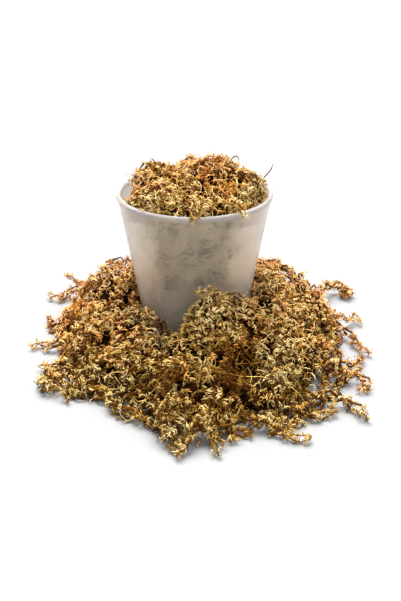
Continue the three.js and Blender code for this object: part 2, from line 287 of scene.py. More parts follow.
def buildPlanter():
    p = planter
    top = p["height"]
    low = top - p["lipHeight"]
    edge = p["edge"]
    inner = p["rimRadius"] - p["lipWidth"]
    profile = [
        (p["baseRadius"] - edge, 0), (p["baseRadius"], edge), (p["shoulderRadius"], low),
        (p["rimRadius"], low + edge), (p["rimRadius"], top - edge), (p["rimRadius"] - edge, top),
        (inner + edge, top), (inner, top - edge), (p["shoulderRadius"] - p["wall"], low - 1),
        (p["baseRadius"] - p["wall"], p["floor"]),
    ]
    bm = bmesh.new()
    verts = [bm.verts.new((x * mm, 0, z * mm)) for x, z in profile]
    edges = [bm.edges.new(pair) for pair in zip(verts, verts[1:])]
    bmesh.ops.spin(
        bm, geom=verts + edges, cent=(0, 0, 0), axis=(0, 0, 1), angle=2 * math.pi,
        steps=p["turns"], use_merge=True,
    )
    bmesh.ops.remove_doubles(bm, verts=bm.verts[:], dist=1e-6)
    drillFloor(bm)
    bmesh.ops.recalc_face_normals(bm, faces=bm.faces[:])
    for face in bm.faces:
        face.smooth = True
    mesh = bpy.data.meshes.new("frosted_planter")
    bm.to_mesh(mesh)
    bm.free()
    mesh.set_sharp_from_angle(angle=math.radians(p["sharpFrom"]))
    mesh.materials.append(frostedPlastic())
    pot = addObject("frosted_planter", mesh)
    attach(pot, "root")
    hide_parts("planter")


buildPlanter()
print("planter turned")

# the ground that the moss lies on: the same heaps and hollows as the solids
heap = {
    "middle": (0, -32),
    "reach": (118, 126, 138, 132, 124, 128, 134, 118, 107, 107, 110, 120, 146, 137, 136, 123),
    "crown": 31,
    "edgePower": 4,
    "edgeRound": 0.6,
    "ripple": 2.2,
    "tufts": 34,
    "spread": 0.9,
    "potClearance": 56,
    "slopeFrom": 0.75,
    "slope": 55,
    "hummocks": (
        (15, -62, 20, 36), (-12, -54, 15, -22), (-60, 38, 30, 20), (62, 42, 32, 17),
        (46, -40, 24, 12), (-44, -52, 17, 10), (4, 82, 30, 8), (38, -104, 15, -20),
        (-66, -66, 13, -16), (-24, -96, 12, -10), (0, -150, 22, 9), (88, -40, 22, 6),
    ),
}
dome = {
    "middle": (0, 8),
    "reach": 62,
    "base": 112,
    "crown": 18,
    "edgePower": 2.4,
    "edgeRound": 0.8,
    "ripple": 1.5,
    "ringRadius": 37,
    "ringTurn": 0.4,
    "bottom": 104,
    "lumps": (
        (-31, 10, 13, 13), (17, 16, 13, 12), (41, 6, 13, 12),
        (-4, 40, 14, 3), (-8, 2, 11, 2), (24, -26, 12, -4),
    ),
}
coreSink = 4.5


def bumpsAt(bumps, x, y):
    return sum(rise * math.exp(-((x - a) ** 2 + (y - b) ** 2) / reach**2) for a, b, reach, rise in bumps)


def heapReach(angle):
    count = len(heap["reach"])
    step = angle / (2 * math.pi) % 1 * count
    low = heap["reach"][int(step) % count]
    high = heap["reach"][(int(step) + 1) % count]
    return low + (high - low) * (1 - math.cos(math.pi * (step % 1))) / 2


def heapShare(x, y):
    dx = x - heap["middle"][0]
    dy = y - heap["middle"][1]
    return math.hypot(dx, dy) / heapReach(math.atan2(dy, dx))


def heapHeight(x, y):
    inside = max(0, 1 - heapShare(x, y) ** heap["edgePower"])
    ripple = heap["ripple"] * math.sin(x / 9 + 1.3) * math.cos(y / 11 - 0.4)
    bumps = bumpsAt(heap["hummocks"], x, y) + ripple
    return max(0.5, heap["crown"] * inside ** heap["edgeRound"] + min(1, 2 * inside) * bumps)


def heapCoreTop(x, y):
    fall = heap["slope"] * max(0, heapShare(x, y) - heap["slopeFrom"])
    return max(1.5, heapHeight(x, y) - coreSink - fall)


def domeHeight(x, y):
    away = math.hypot(x - dome["middle"][0], y - dome["middle"][1]) / dome["reach"]
    inside = max(0, 1 - away ** dome["edgePower"]) ** dome["edgeRound"]
    ripple = dome["ripple"] * math.sin(x / 6 + 0.7) * math.cos(y / 7)
    return dome["base"] + dome["crown"] * inside + inside * (bumpsAt(dome["lumps"], x, y) + ripple)


def domeCoreTop(x, y):
    return domeHeight(x, y) - coreSink

# dried moss: one finish for every tuft. Across the map runs the tint, up the map its painted light
# and shade, from painted shade at a branch's root to a pale painted highlight; the last strip is the litter.
mossLook = {
    "tints": (
        (0.0, "#B3A264"), (0.16, "#CFB066"), (0.34, "#EFC973"), (0.5, "#EEB056"),
        (0.68, "#E6964A"), (0.84, "#C66C30"), (0.92, "#8E451B"), (0.95, "#6A4220"), (1.0, "#4A2C14"),
    ),
    # painted shade: multiplies the colour toward near-black brown lower on the map
    "paintedShade": (
        (0.0, "#210D03"), (0.12, "#593A1D"), (0.25, "#958059"), (0.4, "#CEC5AE"), (0.55, "#F6F4F0"),
        (1.0, "#FFFFFF"),
    ),
    # painted highlight: pale cream mixed in where the painted light is strongest
    "tip": "#FFE9B6",
    "tipFrom": (0.55, 0.93),
    "tipShare": 0.5,
    "streaks": (70, 9, 1),  # fine streaks along each branch, and how much they darken and lighten it
    "streakRange": (0.3, 0.7, 0.58, 1.26),
    "relief": 0.0002,
    "reliefShare": 0.4,
    "roughness": 0.85,
    "roughnessStray": 0.12,
    "shine": 0.05,
    "shadedLitter": 0.975,
    "span": 0.05,
    "softFrom": 0.8,  # brightness from which it is eased in, to stay inside the map
    "softWidth": 0.19,
}


def driedMoss():
    look = mossLook
    moss = Finish("driedMoss")
    spot = moss.add("UVMap", "UV", {})
    spot.node.uv_map = "OFBake"
    across = moss.add("SeparateXYZ", "X", {"Vector": spot})
    upward = across.node.outputs["Y"]
    laid = moss.add("Mapping", "Vector", {"Vector": spot, "Scale": look["streaks"]})
    streak = moss.add("TexNoise", "Fac", {"Vector": laid, "Scale": 1, "Detail": 4})
    # painted highlight, read from the brightness up the map
    tip = moss.rescale(upward, *look["tipFrom"], 0, look["tipShare"])
    colour = moss.blend(tip, moss.ramp(across, look["tints"]), fromHex(look["tip"]))
    # painted shade, multiplied in
    colour = moss.blend(1, colour, moss.ramp(upward, look["paintedShade"]), "MULTIPLY")
    colour = moss.blend(1, colour, moss.rescale(streak, *look["streakRange"]), "MULTIPLY")
    stray = look["roughnessStray"]
    rough = moss.rescale(streak, 0, 1, look["roughness"] - stray, look["roughness"] + stray)
    relief = moss.add("Bump", "Normal", {
        "Height": streak, "Strength": look["reliefShare"], "Distance": look["relief"],
    })
    return moss.dress({
        "Base Color": colour, "Roughness": rough, "Normal": relief, "Specular IOR Level": look["shine"],
    })


mossFinish = driedMoss()

# leafy branchlets, the small curled twigs that clothe every stem
twigKinds = {
    "curly": {"count": 24, "sides": 3, "rings": 3, "length": 5.4, "width": 0.5, "pinch": 0.85, "curl": 3.3},
    "wispy": {"count": 14, "sides": 3, "rings": 4, "length": 8.2, "width": 0.42, "pinch": 0.8, "curl": 3.4},
    "thready": {"count": 6, "sides": 3, "rings": 8, "length": 12, "width": 0.34, "pinch": 0.75, "curl": 4.2},
}
stalkKind = {"sides": 3, "rings": 12}  # the straight rod that is bent along a strand's route
stalkPlaces = 3 * stalkKind["rings"] + 1


# a finished mesh as arrays: places, corners and the map
def meshArrays(bm):
    spread = bm.loops.layers.uv["OFBake"]
    bm.verts.index_update()
    arrays = {
        "places": np.array([vert.co[:] for vert in bm.verts]),
        "corners": np.array([[vert.index for vert in face.verts] for face in bm.faces]),
        "maps": np.array([[loop[spread].uv[:] for loop in face.loops] for face in bm.faces]),
    }
    bm.free()
    return arrays


# a shoot starts as a small face whose sides are numbered
def startShoot(kind):
    bm = bmesh.new()
    bm.loops.layers.uv.new("OFBake")
    bm.verts.layers.int.new("ring")
    side = bm.verts.layers.int.new("side")
    bmesh.ops.create_circle(bm, cap_ends=True, segments=kind["sides"], radius=1)
    for number, vert in enumerate(bm.verts):
        vert[side] = number
    return bm, bm.faces[:][0]


# pushes the end face of a shoot on, numbers its ring and leaves no face inside
def growOn(bm, face, level):
    ring = bm.verts.layers.int["ring"]
    grown = bmesh.ops.extrude_face_region(bm, geom=[face])["geom"]
    if level > 1:
        bmesh.ops.delete(bm, geom=[face], context="FACES_ONLY")
    face = [item for item in grown if isinstance(item, bmesh.types.BMFace)][0]
    for vert in face.verts:
        vert[ring] = level
    return face


# maps a grown shoot round, and along it the painted light that brightAt gives
def endShoot(bm, kind, brightAt, capStep):
    spread = bm.loops.layers.uv["OFBake"]
    ring = bm.verts.layers.int["ring"]
    side = bm.verts.layers.int["side"]
    bmesh.ops.recalc_face_normals(bm, faces=bm.faces[:])
    for face in bm.faces:
        rings = {vert[ring] for vert in face.verts}
        wraps = len(rings) == 2 and {vert[side] for vert in face.verts} == {0, kind["sides"] - 1}
        for loop in face.loops:
            number = loop.vert[side]
            if wraps and number == 0:
                number = kind["sides"]
            lower = capStep * number if len(rings) == 1 else 0
            bright = brightAt(loop.vert[ring] / kind["rings"]) - lower
            loop[spread].uv = (number / kind["sides"], min(1, max(0, bright)))
    bmesh.ops.triangulate(bm, faces=bm.faces[:])
    return meshArrays(bm)


def growTwig(kind, draw):
    bm, growing = startShoot(kind)
    heading = Matrix.Identity(4)
    spot = Vector((0, 0, 0))
    placed = Matrix.Scale(kind["width"] * 0.5, 4)
    bmesh.ops.transform(bm, matrix=placed, verts=bm.verts[:])
    turned = 0
    bend = kind["curl"] * draw(0.4, 1)
    sideBend = draw(-1, 1)
    for level in range(1, kind["rings"] + 1):
        t = level / kind["rings"]
        growing = growOn(bm, growing, level)
        heading = heading @ Matrix.Rotation(-bend / kind["rings"] * draw(0.4, 1.6), 4, "X")
        heading = heading @ Matrix.Rotation(sideBend / kind["rings"] * draw(0, 2), 4, "Y")
        turned = turned + draw(0.3, 1.0)
        spot = spot + heading @ Vector((0, 0, kind["length"] / kind["rings"]))
        width = kind["width"] * (0.2 + 0.8 * math.sin(math.pi * min(1, 0.25 + 0.68 * t)))
        width *= 1 if level % 2 else kind["pinch"]
        target = Matrix.Translation(spot) @ heading @ Matrix.Rotation(turned, 4, "Z") @ Matrix.Scale(width, 4)
        bmesh.ops.transform(bm, matrix=target @ placed.inverted(), verts=growing.verts[:])
        placed = target
    bmesh.ops.pointmerge(bm, verts=growing.verts[:], merge_co=spot)
    # painted light along a curl: painted shade at its root, a painted highlight on its bow, less toward its
    # tip
    return endShoot(bm, kind, lambda along: math.sin(math.pi * (0.08 + 0.7 * along)), 0.04)


def growTwigs():
    grown = {}
    for number, (name, kind) in enumerate(twigKinds.items()):
        draw = drawsFrom(900 + number)
        grown[name] = [growTwig(kind, draw) for _ in range(kind["count"])]
    return grown


def growStalk():
    bm, growing = startShoot(stalkKind)
    for level in range(1, stalkKind["rings"] + 1):
        growing = growOn(bm, growing, level)
        bmesh.ops.translate(bm, vec=(0, 0, 1 / stalkKind["rings"]), verts=growing.verts[:])
    return endShoot(bm, stalkKind, lambda along: along, 0.03)


twigs = growTwigs()
stalk = growStalk()
print("branchlets grown:", [len(twigs[name][0]["corners"]) for name in twigKinds], "faces each")


# a sheaf gathers what becomes one tuft's mesh
def newSheaf(surface=None, bright=1, hollows=(), lift=0):
    return {
        "places": [], "corners": [], "maps": [], "count": 0,
        "surface": surface, "bright": bright, "hollows": hollows, "lift": lift,
    }


def addToSheaf(sheaf, places, corners, maps):
    sheaf["places"].append(places.reshape(-1, 3))
    sheaf["corners"].append(corners.reshape(-1, 3) + sheaf["count"])
    sheaf["maps"].append(maps.reshape(-1, 3, 2))
    sheaf["count"] += len(sheaf["places"][-1])


def addTwigs(sheaf, twig, spots, frames, tints, shades):
    count = len(spots)
    if not count:
        return
    size = len(twig["places"])
    places = np.einsum("nij,vj->nvi", frames, twig["places"]) + spots[:, None, :]
    corners = twig["corners"][None] + (np.arange(count) * size)[:, None, None]
    maps = np.repeat(twig["maps"][None], count, axis=0)
    maps[..., 0] = tints[:, None, None] + mossLook["span"] * maps[..., 0]
    low = shades[:, 0, None, None]
    # painted light and shade: the tuft's brightness, darker hollows and lighter spots, and the roots lifted
    maps[..., 1] = (low + (shades[:, 1, None, None] - low) * maps[..., 1]) * sheaf["bright"]
    for x, y, reach, depth in sheaf["hollows"]:
        inside = np.exp(-(((spots[:, 0] - x) ** 2 + (spots[:, 1] - y) ** 2) / reach**2) ** 2)
        maps[..., 1] *= (1 - depth * inside)[:, None, None]
    maps[..., 1] = sheaf["lift"] + (1 - sheaf["lift"]) * maps[..., 1]
    addToSheaf(sheaf, places, corners, maps)


# places the chosen branchlets of a kind, each in one of its shapes
def placeTwigs(sheaf, name, chosen, spots, frames, tints, shades, rng):
    shapes = rng.integers(0, len(twigs[name]), len(spots))
    for shape, twig in enumerate(twigs[name]):
        mine = chosen & (shapes == shape)
        addTwigs(sheaf, twig, spots[mine], frames[mine], tints[mine], shades[mine])


# a smooth line through points, as evenly spaced places
def smoothLine(points):
    points = np.array(points, dtype=float)
    points = np.vstack([2 * points[0] - points[1], points, 2 * points[-1] - points[-2]])
    found = []
    for i in range(1, len(points) - 2):
        a, b, c, d = points[i - 1 : i + 3]
        for t in np.linspace(0, 1, 12, endpoint=False):
            found.append(
                0.5 * (2 * b + (c - a) * t + (2 * a - 5 * b + 4 * c - d) * t * t
                       + (3 * b - a - 3 * c + d) * t**3)
            )
    found.append(points[-2])
    found = np.array(found)
    gone = np.concatenate([[0], np.cumsum(np.linalg.norm(np.diff(found, axis=0), axis=1))])
    wanted = np.linspace(0, gone[-1], stalkPlaces)
    return np.stack([np.interp(wanted, gone, found[:, k]) for k in range(3)], axis=1), gone[-1]


def unit(vectors):
    return vectors / np.maximum(np.linalg.norm(vectors, axis=1, keepdims=True), 1e-9)


def framesAlong(line):
    ahead = unit(np.gradient(line, axis=0))
    side = np.stack([ahead[:, 1], -ahead[:, 0], np.zeros(len(line))], axis=1)
    side = unit(side + np.array([[1e-4, 2e-4, 0]]))
    up = unit(np.cross(side, ahead))
    side = np.cross(ahead, up)
    return ahead, side, up


# frames of branchlets that grow a given way, each rolled a little about it
def framesGrowing(grow, beside, roll):
    across = unit(np.cross(grow, beside))
    third = np.cross(grow, across)
    cos = np.cos(roll)[:, None]
    sin = np.sin(roll)[:, None]
    frames = np.stack([across * cos + third * sin, third * cos - across * sin, grow], axis=2)
    return frames, across


def addStalk(sheaf, line, radius, tint, shade):
    ahead, side, up = framesAlong(line)
    z = stalk["places"][:, 2] * (len(line) - 1)
    at = np.clip(np.round(z).astype(int), 0, len(line) - 1)
    ring = np.round(stalk["places"][:, 2] * stalkKind["rings"])
    swell = radius * np.where(ring % 2 == 1, 1.0, 0.7) * np.sin(np.pi * (0.08 + 0.86 * stalk["places"][:, 2]))
    places = (
        line[at]
        + side[at] * (stalk["places"][:, 0] * swell)[:, None]
        + up[at] * (stalk["places"][:, 1] * swell)[:, None]
    )
    maps = stalk["maps"].copy()
    maps[..., 0] = tint + mossLook["span"] * maps[..., 0]
    maps[..., 1] = shade[0] + (shade[1] - shade[0]) * maps[..., 1]
    addToSheaf(sheaf, places, stalk["corners"], maps)


# how a strand is clothed
strandLook = {
    "perMillimetre": 2.29,  # branchlets
    "around": 1.9,  # half the angle they cover, from straight up
    "lean": (0.05, 0.75),  # from along the stem outwards
    "forward": 0.75,  # share that lean towards the far end
    "wrap": 1.4,  # how far they turn from along the stem to round it
    "bunch": 5,  # branchlets that spring side by side
    "pitch": 0.7,  # from one to the next
    "bunchStray": 0.2,  # how far bunches stray from their direction, and branchlets from their bunch
    "stray": 0.24,
    "bunchRoll": 0.6,  # how far a curl strays from hugging the stem
    "roll": 0.3,
    "bunchSize": (0.75, 1.15),
    "size": (0.88, 1.12),
    "fullRadius": 4.4,  # radius at which branchlets have their full size
    "spread": 0.6,
    "calm": 5,  # length at either end that doesn't wind
    "windAside": 1.3,
    "windUp": 0.9,
    "plies": 2,  # thinner ropes that a strand is laid up from
    "singleBelow": 2.7,
    "plyOut": 0.5,
    "plyShare": 0.6,
    "plyTint": 0.05,
    "plyBright": (0.6, 1.24),
    "stalkShare": 0.5,
    "stalkShade": (0.02, 0.24),
    "stalkTint": 0.3,
    "bunchTint": 0.045,
    "tint": 0.025,
    "lastTint": 0.86,
    # painted shade on a strand's sides
    "paintedSideShade": 0.9,
    "bright": (0.75, 1.2),
    # painted light by height: lower bunches get painted shade, higher ones more light
    "level": 0.84,  # brightness at the level of the moss, and what a millimetre higher adds
    "raised": 0.06,
    "raisedRange": (0.35, 1.2),
    "wisps": 0.18,  # share of straighter, longer branchlets
}


# own holds what this strand does otherwise than strandLook: around, lean or wisps
# shade is the range of painted light and shade its branchlets get, from their roots to the best lit
def addStrand(sheaf, points, radius, tint, shade, draw, density=1.0, **own):
    look = {**strandLook, **own}
    line, length = smoothLine(points)
    ahead, side, up = framesAlong(line)
    gone = np.linspace(0, length, len(line))[:, None]
    calm = np.minimum(1, np.minimum(gone, length - gone) / look["calm"])
    line = line + calm * side * look["windAside"] * np.sin(gone / draw(1.5, 2.4) + draw(0, 6))
    line = line + calm * up * look["windUp"] * np.sin(gone / draw(1.2, 1.9) + draw(0, 6))
    plies = look["plies"] if radius > look["singleBelow"] else 1
    out = radius * look["plyOut"] if plies > 1 else 0
    thick = radius * look["plyShare"] if plies > 1 else radius
    twist = gone / draw(3.5, 7) + draw(0, 6)
    for ply in range(plies):
        turned = twist + ply * 2 * math.pi / plies
        plyLine = line + calm * out * (side * np.cos(turned) + up * np.sin(turned))
        plyTint = tint + draw(-1, 1) * look["plyTint"]
        dressPly(sheaf, plyLine, length, thick, plyTint, shade, draw, density / plies, look)


# one ply of a strand: its stalk, and bunches of branchlets all along it
def dressPly(sheaf, line, length, radius, tint, shade, draw, density, look):
    addStalk(sheaf, line, radius * look["stalkShare"], min(look["stalkTint"], tint), look["stalkShade"])
    ahead, side, up = framesAlong(line)
    rng = np.random.default_rng(int(draw(0, 1e9)))
    bunch = look["bunch"]
    bunches = max(4, int(length * look["perMillimetre"] * density / bunch))
    number = bunches * bunch

    # what a bunch has in common, repeated for each of its branchlets
    def shared(values):
        return np.repeat(values, bunch, axis=0)

    where = np.clip((np.arange(bunches) + rng.uniform(-0.6, 0.6, bunches)) / bunches, 0, 1)
    at = np.clip((where * (len(line) - 1)).round().astype(int), 0, len(line) - 1)
    turn = (2 * ((np.arange(bunches) * 0.618 + rng.uniform(-0.12, 0.12, bunches)) % 1) - 1) * look["around"]
    radial = up[at] * np.cos(turn)[:, None] + side[at] * np.sin(turn)[:, None]
    tilt = rng.uniform(*look["lean"], bunches)
    flow = ahead[at] * np.where(rng.uniform(size=bunches) < look["forward"], 1, -1)[:, None]
    wrap = rng.uniform(-1, 1, bunches) * look["wrap"]
    flow = flow * np.cos(wrap)[:, None] + np.cross(ahead[at], radial) * np.sin(wrap)[:, None]
    grow = radial * np.sin(tilt)[:, None] + flow * np.cos(tilt)[:, None]
    grow = shared(grow + rng.normal(0, look["bunchStray"], (bunches, 3)))
    grow = unit(grow + rng.normal(0, look["stray"], (number, 3)))
    roll = shared(rng.normal(0, look["bunchRoll"], bunches)) + rng.normal(0, look["roll"], number)
    frames, across = framesGrowing(grow, shared(radial), roll)
    size = shared(rng.uniform(*look["bunchSize"], bunches)) * rng.uniform(*look["size"], number)
    size *= (radius / look["fullRadius"]) ** 0.4
    size *= 1 + 0.2 * np.sin(shared(where) * length / draw(1.6, 3) + draw(0, 6))
    swell = np.sin(np.pi * np.clip(0.1 + 0.85 * where, 0.02, 0.98)) ** 0.5
    spots = shared(line[at] + radial * (radius * 0.7 * swell)[:, None])
    step = np.tile(np.arange(bunch) - (bunch - 1) / 2, bunches)[:, None]
    spots = spots + across * step * look["pitch"] + rng.uniform(-1, 1, (number, 3)) * look["spread"]
    tints = shared(tint + rng.normal(0, look["bunchTint"], bunches)) + rng.normal(0, look["tint"], number)
    # painted shade: darker round the strand's sides and where a bunch lies low, lighter where it stands proud
    best = shade[1] * (1 - look["paintedSideShade"] * (1 - np.cos(turn)) / 2) * rng.uniform(*look["bright"], bunches)
    if sheaf["surface"]:
        heights = spots[::bunch, 2] - np.array([sheaf["surface"](x, y) for x, y in spots[::bunch, :2]])
        best *= np.clip(look["level"] + look["raised"] * heights, *look["raisedRange"])
    best = shared(best * draw(*look["plyBright"])) + rng.uniform(-0.1, 0.1, number)
    placed = (
        spots, frames * size[:, None, None], np.clip(tints, 0, look["lastTint"]),
        np.clip(np.stack([np.full(number, shade[0]), best], axis=1), 0, 1), rng,
    )
    isWisp = shared(rng.uniform(size=bunches) < look["wisps"])
    placeTwigs(sheaf, "wispy", isWisp, *placed)
    placeTwigs(sheaf, "curly", ~isWisp, *placed)


# where moss keeps to, in millimetres from the planter and the floor
keepTo = {
    "wallGap": 0.3,
    "lipGap": 0.3,  # above the lip and out from it
    "insideGap": 0.25,
    "soft": 1.0,  # how gently what strayed is pressed back
    "floorSoft": 0.8,
}


# presses what has strayed past a surface back, without folding it
def pressBack(clearance, soft):
    return np.where(clearance >= soft, clearance, soft * np.exp((np.minimum(clearance, soft) - soft) / soft))


# draws places in or pushes them out to a distance from the planter's middle
def holdAt(places, away, held):
    places[:, :2] *= (held / np.maximum(away, 1e-6))[:, None]


def clearOfPlanter(places):
    away = np.hypot(places[:, 0], places[:, 1])
    wall = wallRadius(places[:, 2]) + keepTo["wallGap"]
    near = (places[:, 2] < planter["height"] - 1) & (away < wall + 1)
    holdAt(places, away, np.where(near, pressBack(away - wall, keepTo["soft"]) + wall, away))
    places[:, 2] = pressBack(places[:, 2], keepTo["floorSoft"])


def insidePlanter(places, gap=keepTo["insideGap"]):
    away = np.hypot(places[:, 0], places[:, 1])
    mouth = planter["rimRadius"] - planter["lipWidth"]
    wall = np.minimum(wallRadius(places[:, 2]) - planter["wall"], mouth) - gap
    over = places[:, 2] - planter["height"]
    held = np.where((over < -0.5) & (away > wall - 1), wall - pressBack(wall - away, keepTo["soft"]), away)
    nearLip = (away > planter["rimRadius"] - 4) & (away < planter["rimRadius"] + 1)
    onLip = (over < 1.5) & (over >= -0.5) & nearLip
    level = planter["height"] + keepTo["lipGap"]
    places[:, 2] = np.where(onLip, level + pressBack(places[:, 2] - level, keepTo["soft"]), places[:, 2])
    holdAt(places, away, held)


# keeps a spill on either side of the planter's lip
def overLip(places):
    away = np.hypot(places[:, 0], places[:, 1])
    inner = away < planter["rimRadius"] - planter["lipWidth"] / 2
    held = places[inner]
    insidePlanter(held)
    places[inner] = held
    besideLip = places[:, 2] > planter["height"] - 6
    wall = np.where(besideLip, planter["rimRadius"], wallRadius(places[:, 2])) + keepTo["wallGap"]
    outer = ~inner & (places[:, 2] < planter["height"] + keepTo["lipGap"]) & (away < wall)
    holdAt(places, away, np.where(outer, wall, away))


def sheafPiece(name, sheaf, node):
    places = np.concatenate(sheaf["places"]) * mm
    corners = np.concatenate(sheaf["corners"])
    maps = np.concatenate(sheaf["maps"])
    softFrom = mossLook["softFrom"]
    width = mossLook["softWidth"]
    over = np.maximum(maps[..., 1] - softFrom, 0)
    maps[..., 1] = np.minimum(maps[..., 1], softFrom) + width * (1 - np.exp(-over / width))
    mesh = bpy.data.meshes.new(name)
    mesh.vertices.add(len(places))
    mesh.vertices.foreach_set("co", places.astype(np.float32).ravel())
    mesh.loops.add(3 * len(corners))
    mesh.loops.foreach_set("vertex_index", corners.astype(np.int32).ravel())
    mesh.polygons.add(len(corners))
    mesh.polygons.foreach_set("loop_start", np.arange(0, 3 * len(corners), 3, dtype=np.int32))
    layer = mesh.uv_layers.new(name="OFBake")
    layer.uv.foreach_set("vector", maps.astype(np.float32).ravel())
    mesh.update(calc_edges=True)
    mesh.validate()
    mesh.materials.append(mossFinish)
    piece = addObject(name, mesh)
    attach(piece, "root")
    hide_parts(node)
    return len(corners)


# the matted litter at the heart of a tuft, dark brown as painted shade in the gaps; on the floor it is drawn
# in from the heap's edge
def addShadedLitter(sheaf, middle, radius, topAt, bottom, seed):
    bm = bmesh.new()
    spread = bm.loops.layers.uv.new("OFBake")
    bmesh.ops.create_icosphere(bm, subdivisions=3, radius=1)
    for vert in bm.verts:
        x = middle[0] + vert.co.x * radius
        y = middle[1] + vert.co.y * radius
        if bottom == 0:
            pull = min(1, heapLook["litterShare"] / max(0.01, heapShare(x, y)))
            x = heap["middle"][0] + (x - heap["middle"][0]) * pull
            y = heap["middle"][1] + (y - heap["middle"][1]) * pull
        rough = noise.noise(Vector((x / 5, y / 5, seed))) * 1.6
        top = topAt(x, y)
        vert.co = (x, y, (top + bottom) / 2 + ((top - bottom) / 2 + rough) * vert.co.z)
    for number, face in enumerate(bm.faces):
        for corner, loop in enumerate(face.loops):
            u = mossLook["shadedLitter"] + 0.02 * math.sin(number) * (0.3 + 0.3 * corner)
            # painted shade: its crumbs are kept dark
            crumb = 0.02 + 0.2 * (math.sin(37.7 * number) * 43758.5 % 1) ** 2
            loop[spread].uv = (min(0.999, max(0.951, u)), crumb + 0.06 * (corner == 1))
    addToSheaf(sheaf, **meshArrays(bm))


# loose branchlets on the litter
def addScatter(sheaf, middle, radius, topAt, number, tint, seed):
    rng = np.random.default_rng(seed)
    out = radius * np.sqrt(rng.uniform(0, 1, number))
    angle = rng.uniform(0, 2 * math.pi, number)
    xs = middle[0] + out * np.cos(angle)
    ys = middle[1] + out * np.sin(angle)
    zs = np.array([topAt(x, y) for x, y in zip(xs, ys)]) + rng.uniform(0, 1.5, number)
    heading = rng.uniform(0, 2 * math.pi, number)
    grow = unit(np.stack([np.cos(heading), np.sin(heading), rng.uniform(0, 0.7, number)], axis=1))
    frames, _ = framesGrowing(grow, np.array([[0, 0, 1.0]]), rng.normal(0, 1.2, number))
    frames *= rng.uniform(0.9, 1.5, number)[:, None, None]
    tints = np.clip(tint + rng.normal(0, 0.08, number), 0, 0.88)
    shades = np.stack([np.zeros(number), rng.uniform(0.3, 0.8, number)], axis=1)
    placeTwigs(sheaf, "wispy", True, np.stack([xs, ys, zs], axis=1), frames, tints, shades, rng)


# a few long thin curls that stand out of the moss
def addThreads(sheaf, middle, look, topAt, tintAt, draw):
    spots = []
    for _ in range(look["threads"]):
        x = middle[0] + draw(-look["threadReach"], look["threadReach"])
        y = middle[1] + draw(-look["threadReach"], look["threadReach"])
        spots.append((x, y, topAt(x, y) + draw(0, 3)))
    number = len(spots)
    tint = tintAt(*middle, draw)
    rng = np.random.default_rng(int(draw(0, 1e9)))
    heading = rng.uniform(0, 2 * math.pi, number)
    grow = unit(np.stack([np.cos(heading), np.sin(heading), rng.uniform(0.1, 1.2, number)], axis=1))
    frames, _ = framesGrowing(grow, rng.normal(0, 1, (number, 3)), np.zeros(number))
    frames *= rng.uniform(0.7, 1.2, number)[:, None, None]
    tints = np.clip(tint + rng.normal(0, 0.05, number), 0, 0.88)
    shades = np.tile((0.35, 1.0), (number, 1))
    placeTwigs(sheaf, "thready", True, np.array(spots), frames, tints, shades, rng)


# a bare pale stem that lies over the moss
def addBareStem(sheaf, start, heading, length, topAt, draw):
    bend = draw(-0.8, 0.8)
    rise = draw(0.5, 3)
    points = []
    for k in range(5):
        t = k / 4
        angle = heading + bend * t
        x = start[0] + length * t * math.cos(angle)
        y = start[1] + length * t * math.sin(angle)
        points.append((x, y, topAt(x, y) + rise + 1.5 * math.sin(math.pi * t)))
    addStalk(sheaf, smoothLine(points)[0], draw(0.25, 0.4), 0.34 + draw(-0.05, 0.1), (0.4, 0.7))


# a strand curled up into a small knot that stands proud of its neighbours
def knotRoute(x, y, reach, topAt, draw):
    phase = draw(0, 2 * math.pi)
    turns = draw(1.1, 1.7) * (1 if draw(-1, 1) > 0 else -1)
    rise = draw(1, 4)
    points = []
    for k in range(9):
        t = k / 8
        out = reach * (1.1 - 0.8 * t)
        angle = phase + turns * 2 * math.pi * t
        px = x + out * math.cos(angle)
        py = y + out * math.sin(angle)
        points.append((px, py, max(2.5, topAt(px, py) + rise * t)))
    return points


# several knots on one another
def addClump(sheaf, x, y, reach, rise, count, tint, topAt, draw, wisps=0.4):
    for i in range(count):
        share = i / max(1, count - 1)
        lift = rise * share
        points = knotRoute(x + draw(-2, 2), y + draw(-2, 2), reach * (1 - 0.35 * share),
                           lambda a, b: max(2.5, topAt(a, b) - 3) + lift, draw)
        addStrand(sheaf, points, draw(2.6, 3.4), tint + draw(-0.06, 0.06), (0.1, 1.1), draw, around=math.pi,
                  lean=(0.2, 1.2), wisps=wisps)


# routes of the stems, drawn as the solids' are
stemRule = {"radius": 4.4, "ride": -1, "root": 2, "sway": 4}
heapKind = {
    "reach": 23.5, "sideBySide": 4, "spacing": 12.5, "over": 6.5,
    "surface": heapHeight, "coreTop": heapCoreTop,
}
domeKind = {
    "reach": 19.5, "sideBySide": 3, "spacing": 12.5, "over": 2.5,
    "surface": domeHeight, "coreTop": domeCoreTop,
}


# a place so far along a heading through a middle, and so far aside of it
def placeAt(middle, heading, along, aside):
    x = middle[0] + along * math.cos(heading) - aside * math.sin(heading)
    y = middle[1] + along * math.sin(heading) + aside * math.cos(heading)
    return x, y


def stemRoutes(middle, kind, crossing, draw):
    routes = []
    turn = draw(0, math.pi)
    for layer, count in enumerate((kind["sideBySide"], crossing)):
        heading = turn + layer * draw(0.9, 1.5)
        for i in range(count):
            aside = (i - (count - 1) / 2) * kind["spacing"] + draw(-2, 2)
            half = math.sqrt(max(100, kind["reach"] ** 2 - aside**2)) * draw(0.85, 1.1)
            phase = draw(0, 2 * math.pi)
            points = []
            for k in range(7):
                along = k / 3 - 1
                sway = aside + stemRule["sway"] * math.sin(2.4 * along + phase)
                x, y = placeAt(middle, heading, half * along, sway)
                lift = stemRule["ride"] + layer * kind["over"] + 1.2 * math.sin(3.1 * along + 2 * phase)
                above = max(stemRule["radius"] * 0.6, kind["surface"](x, y) + lift)
                root = kind["coreTop"](x, y) - stemRule["root"]
                points.append((x, y, above + (root - above) * abs(along) ** 4))
            routes.append((points, stemRule["radius"] * draw(0.85, 1.15)))
    return routes


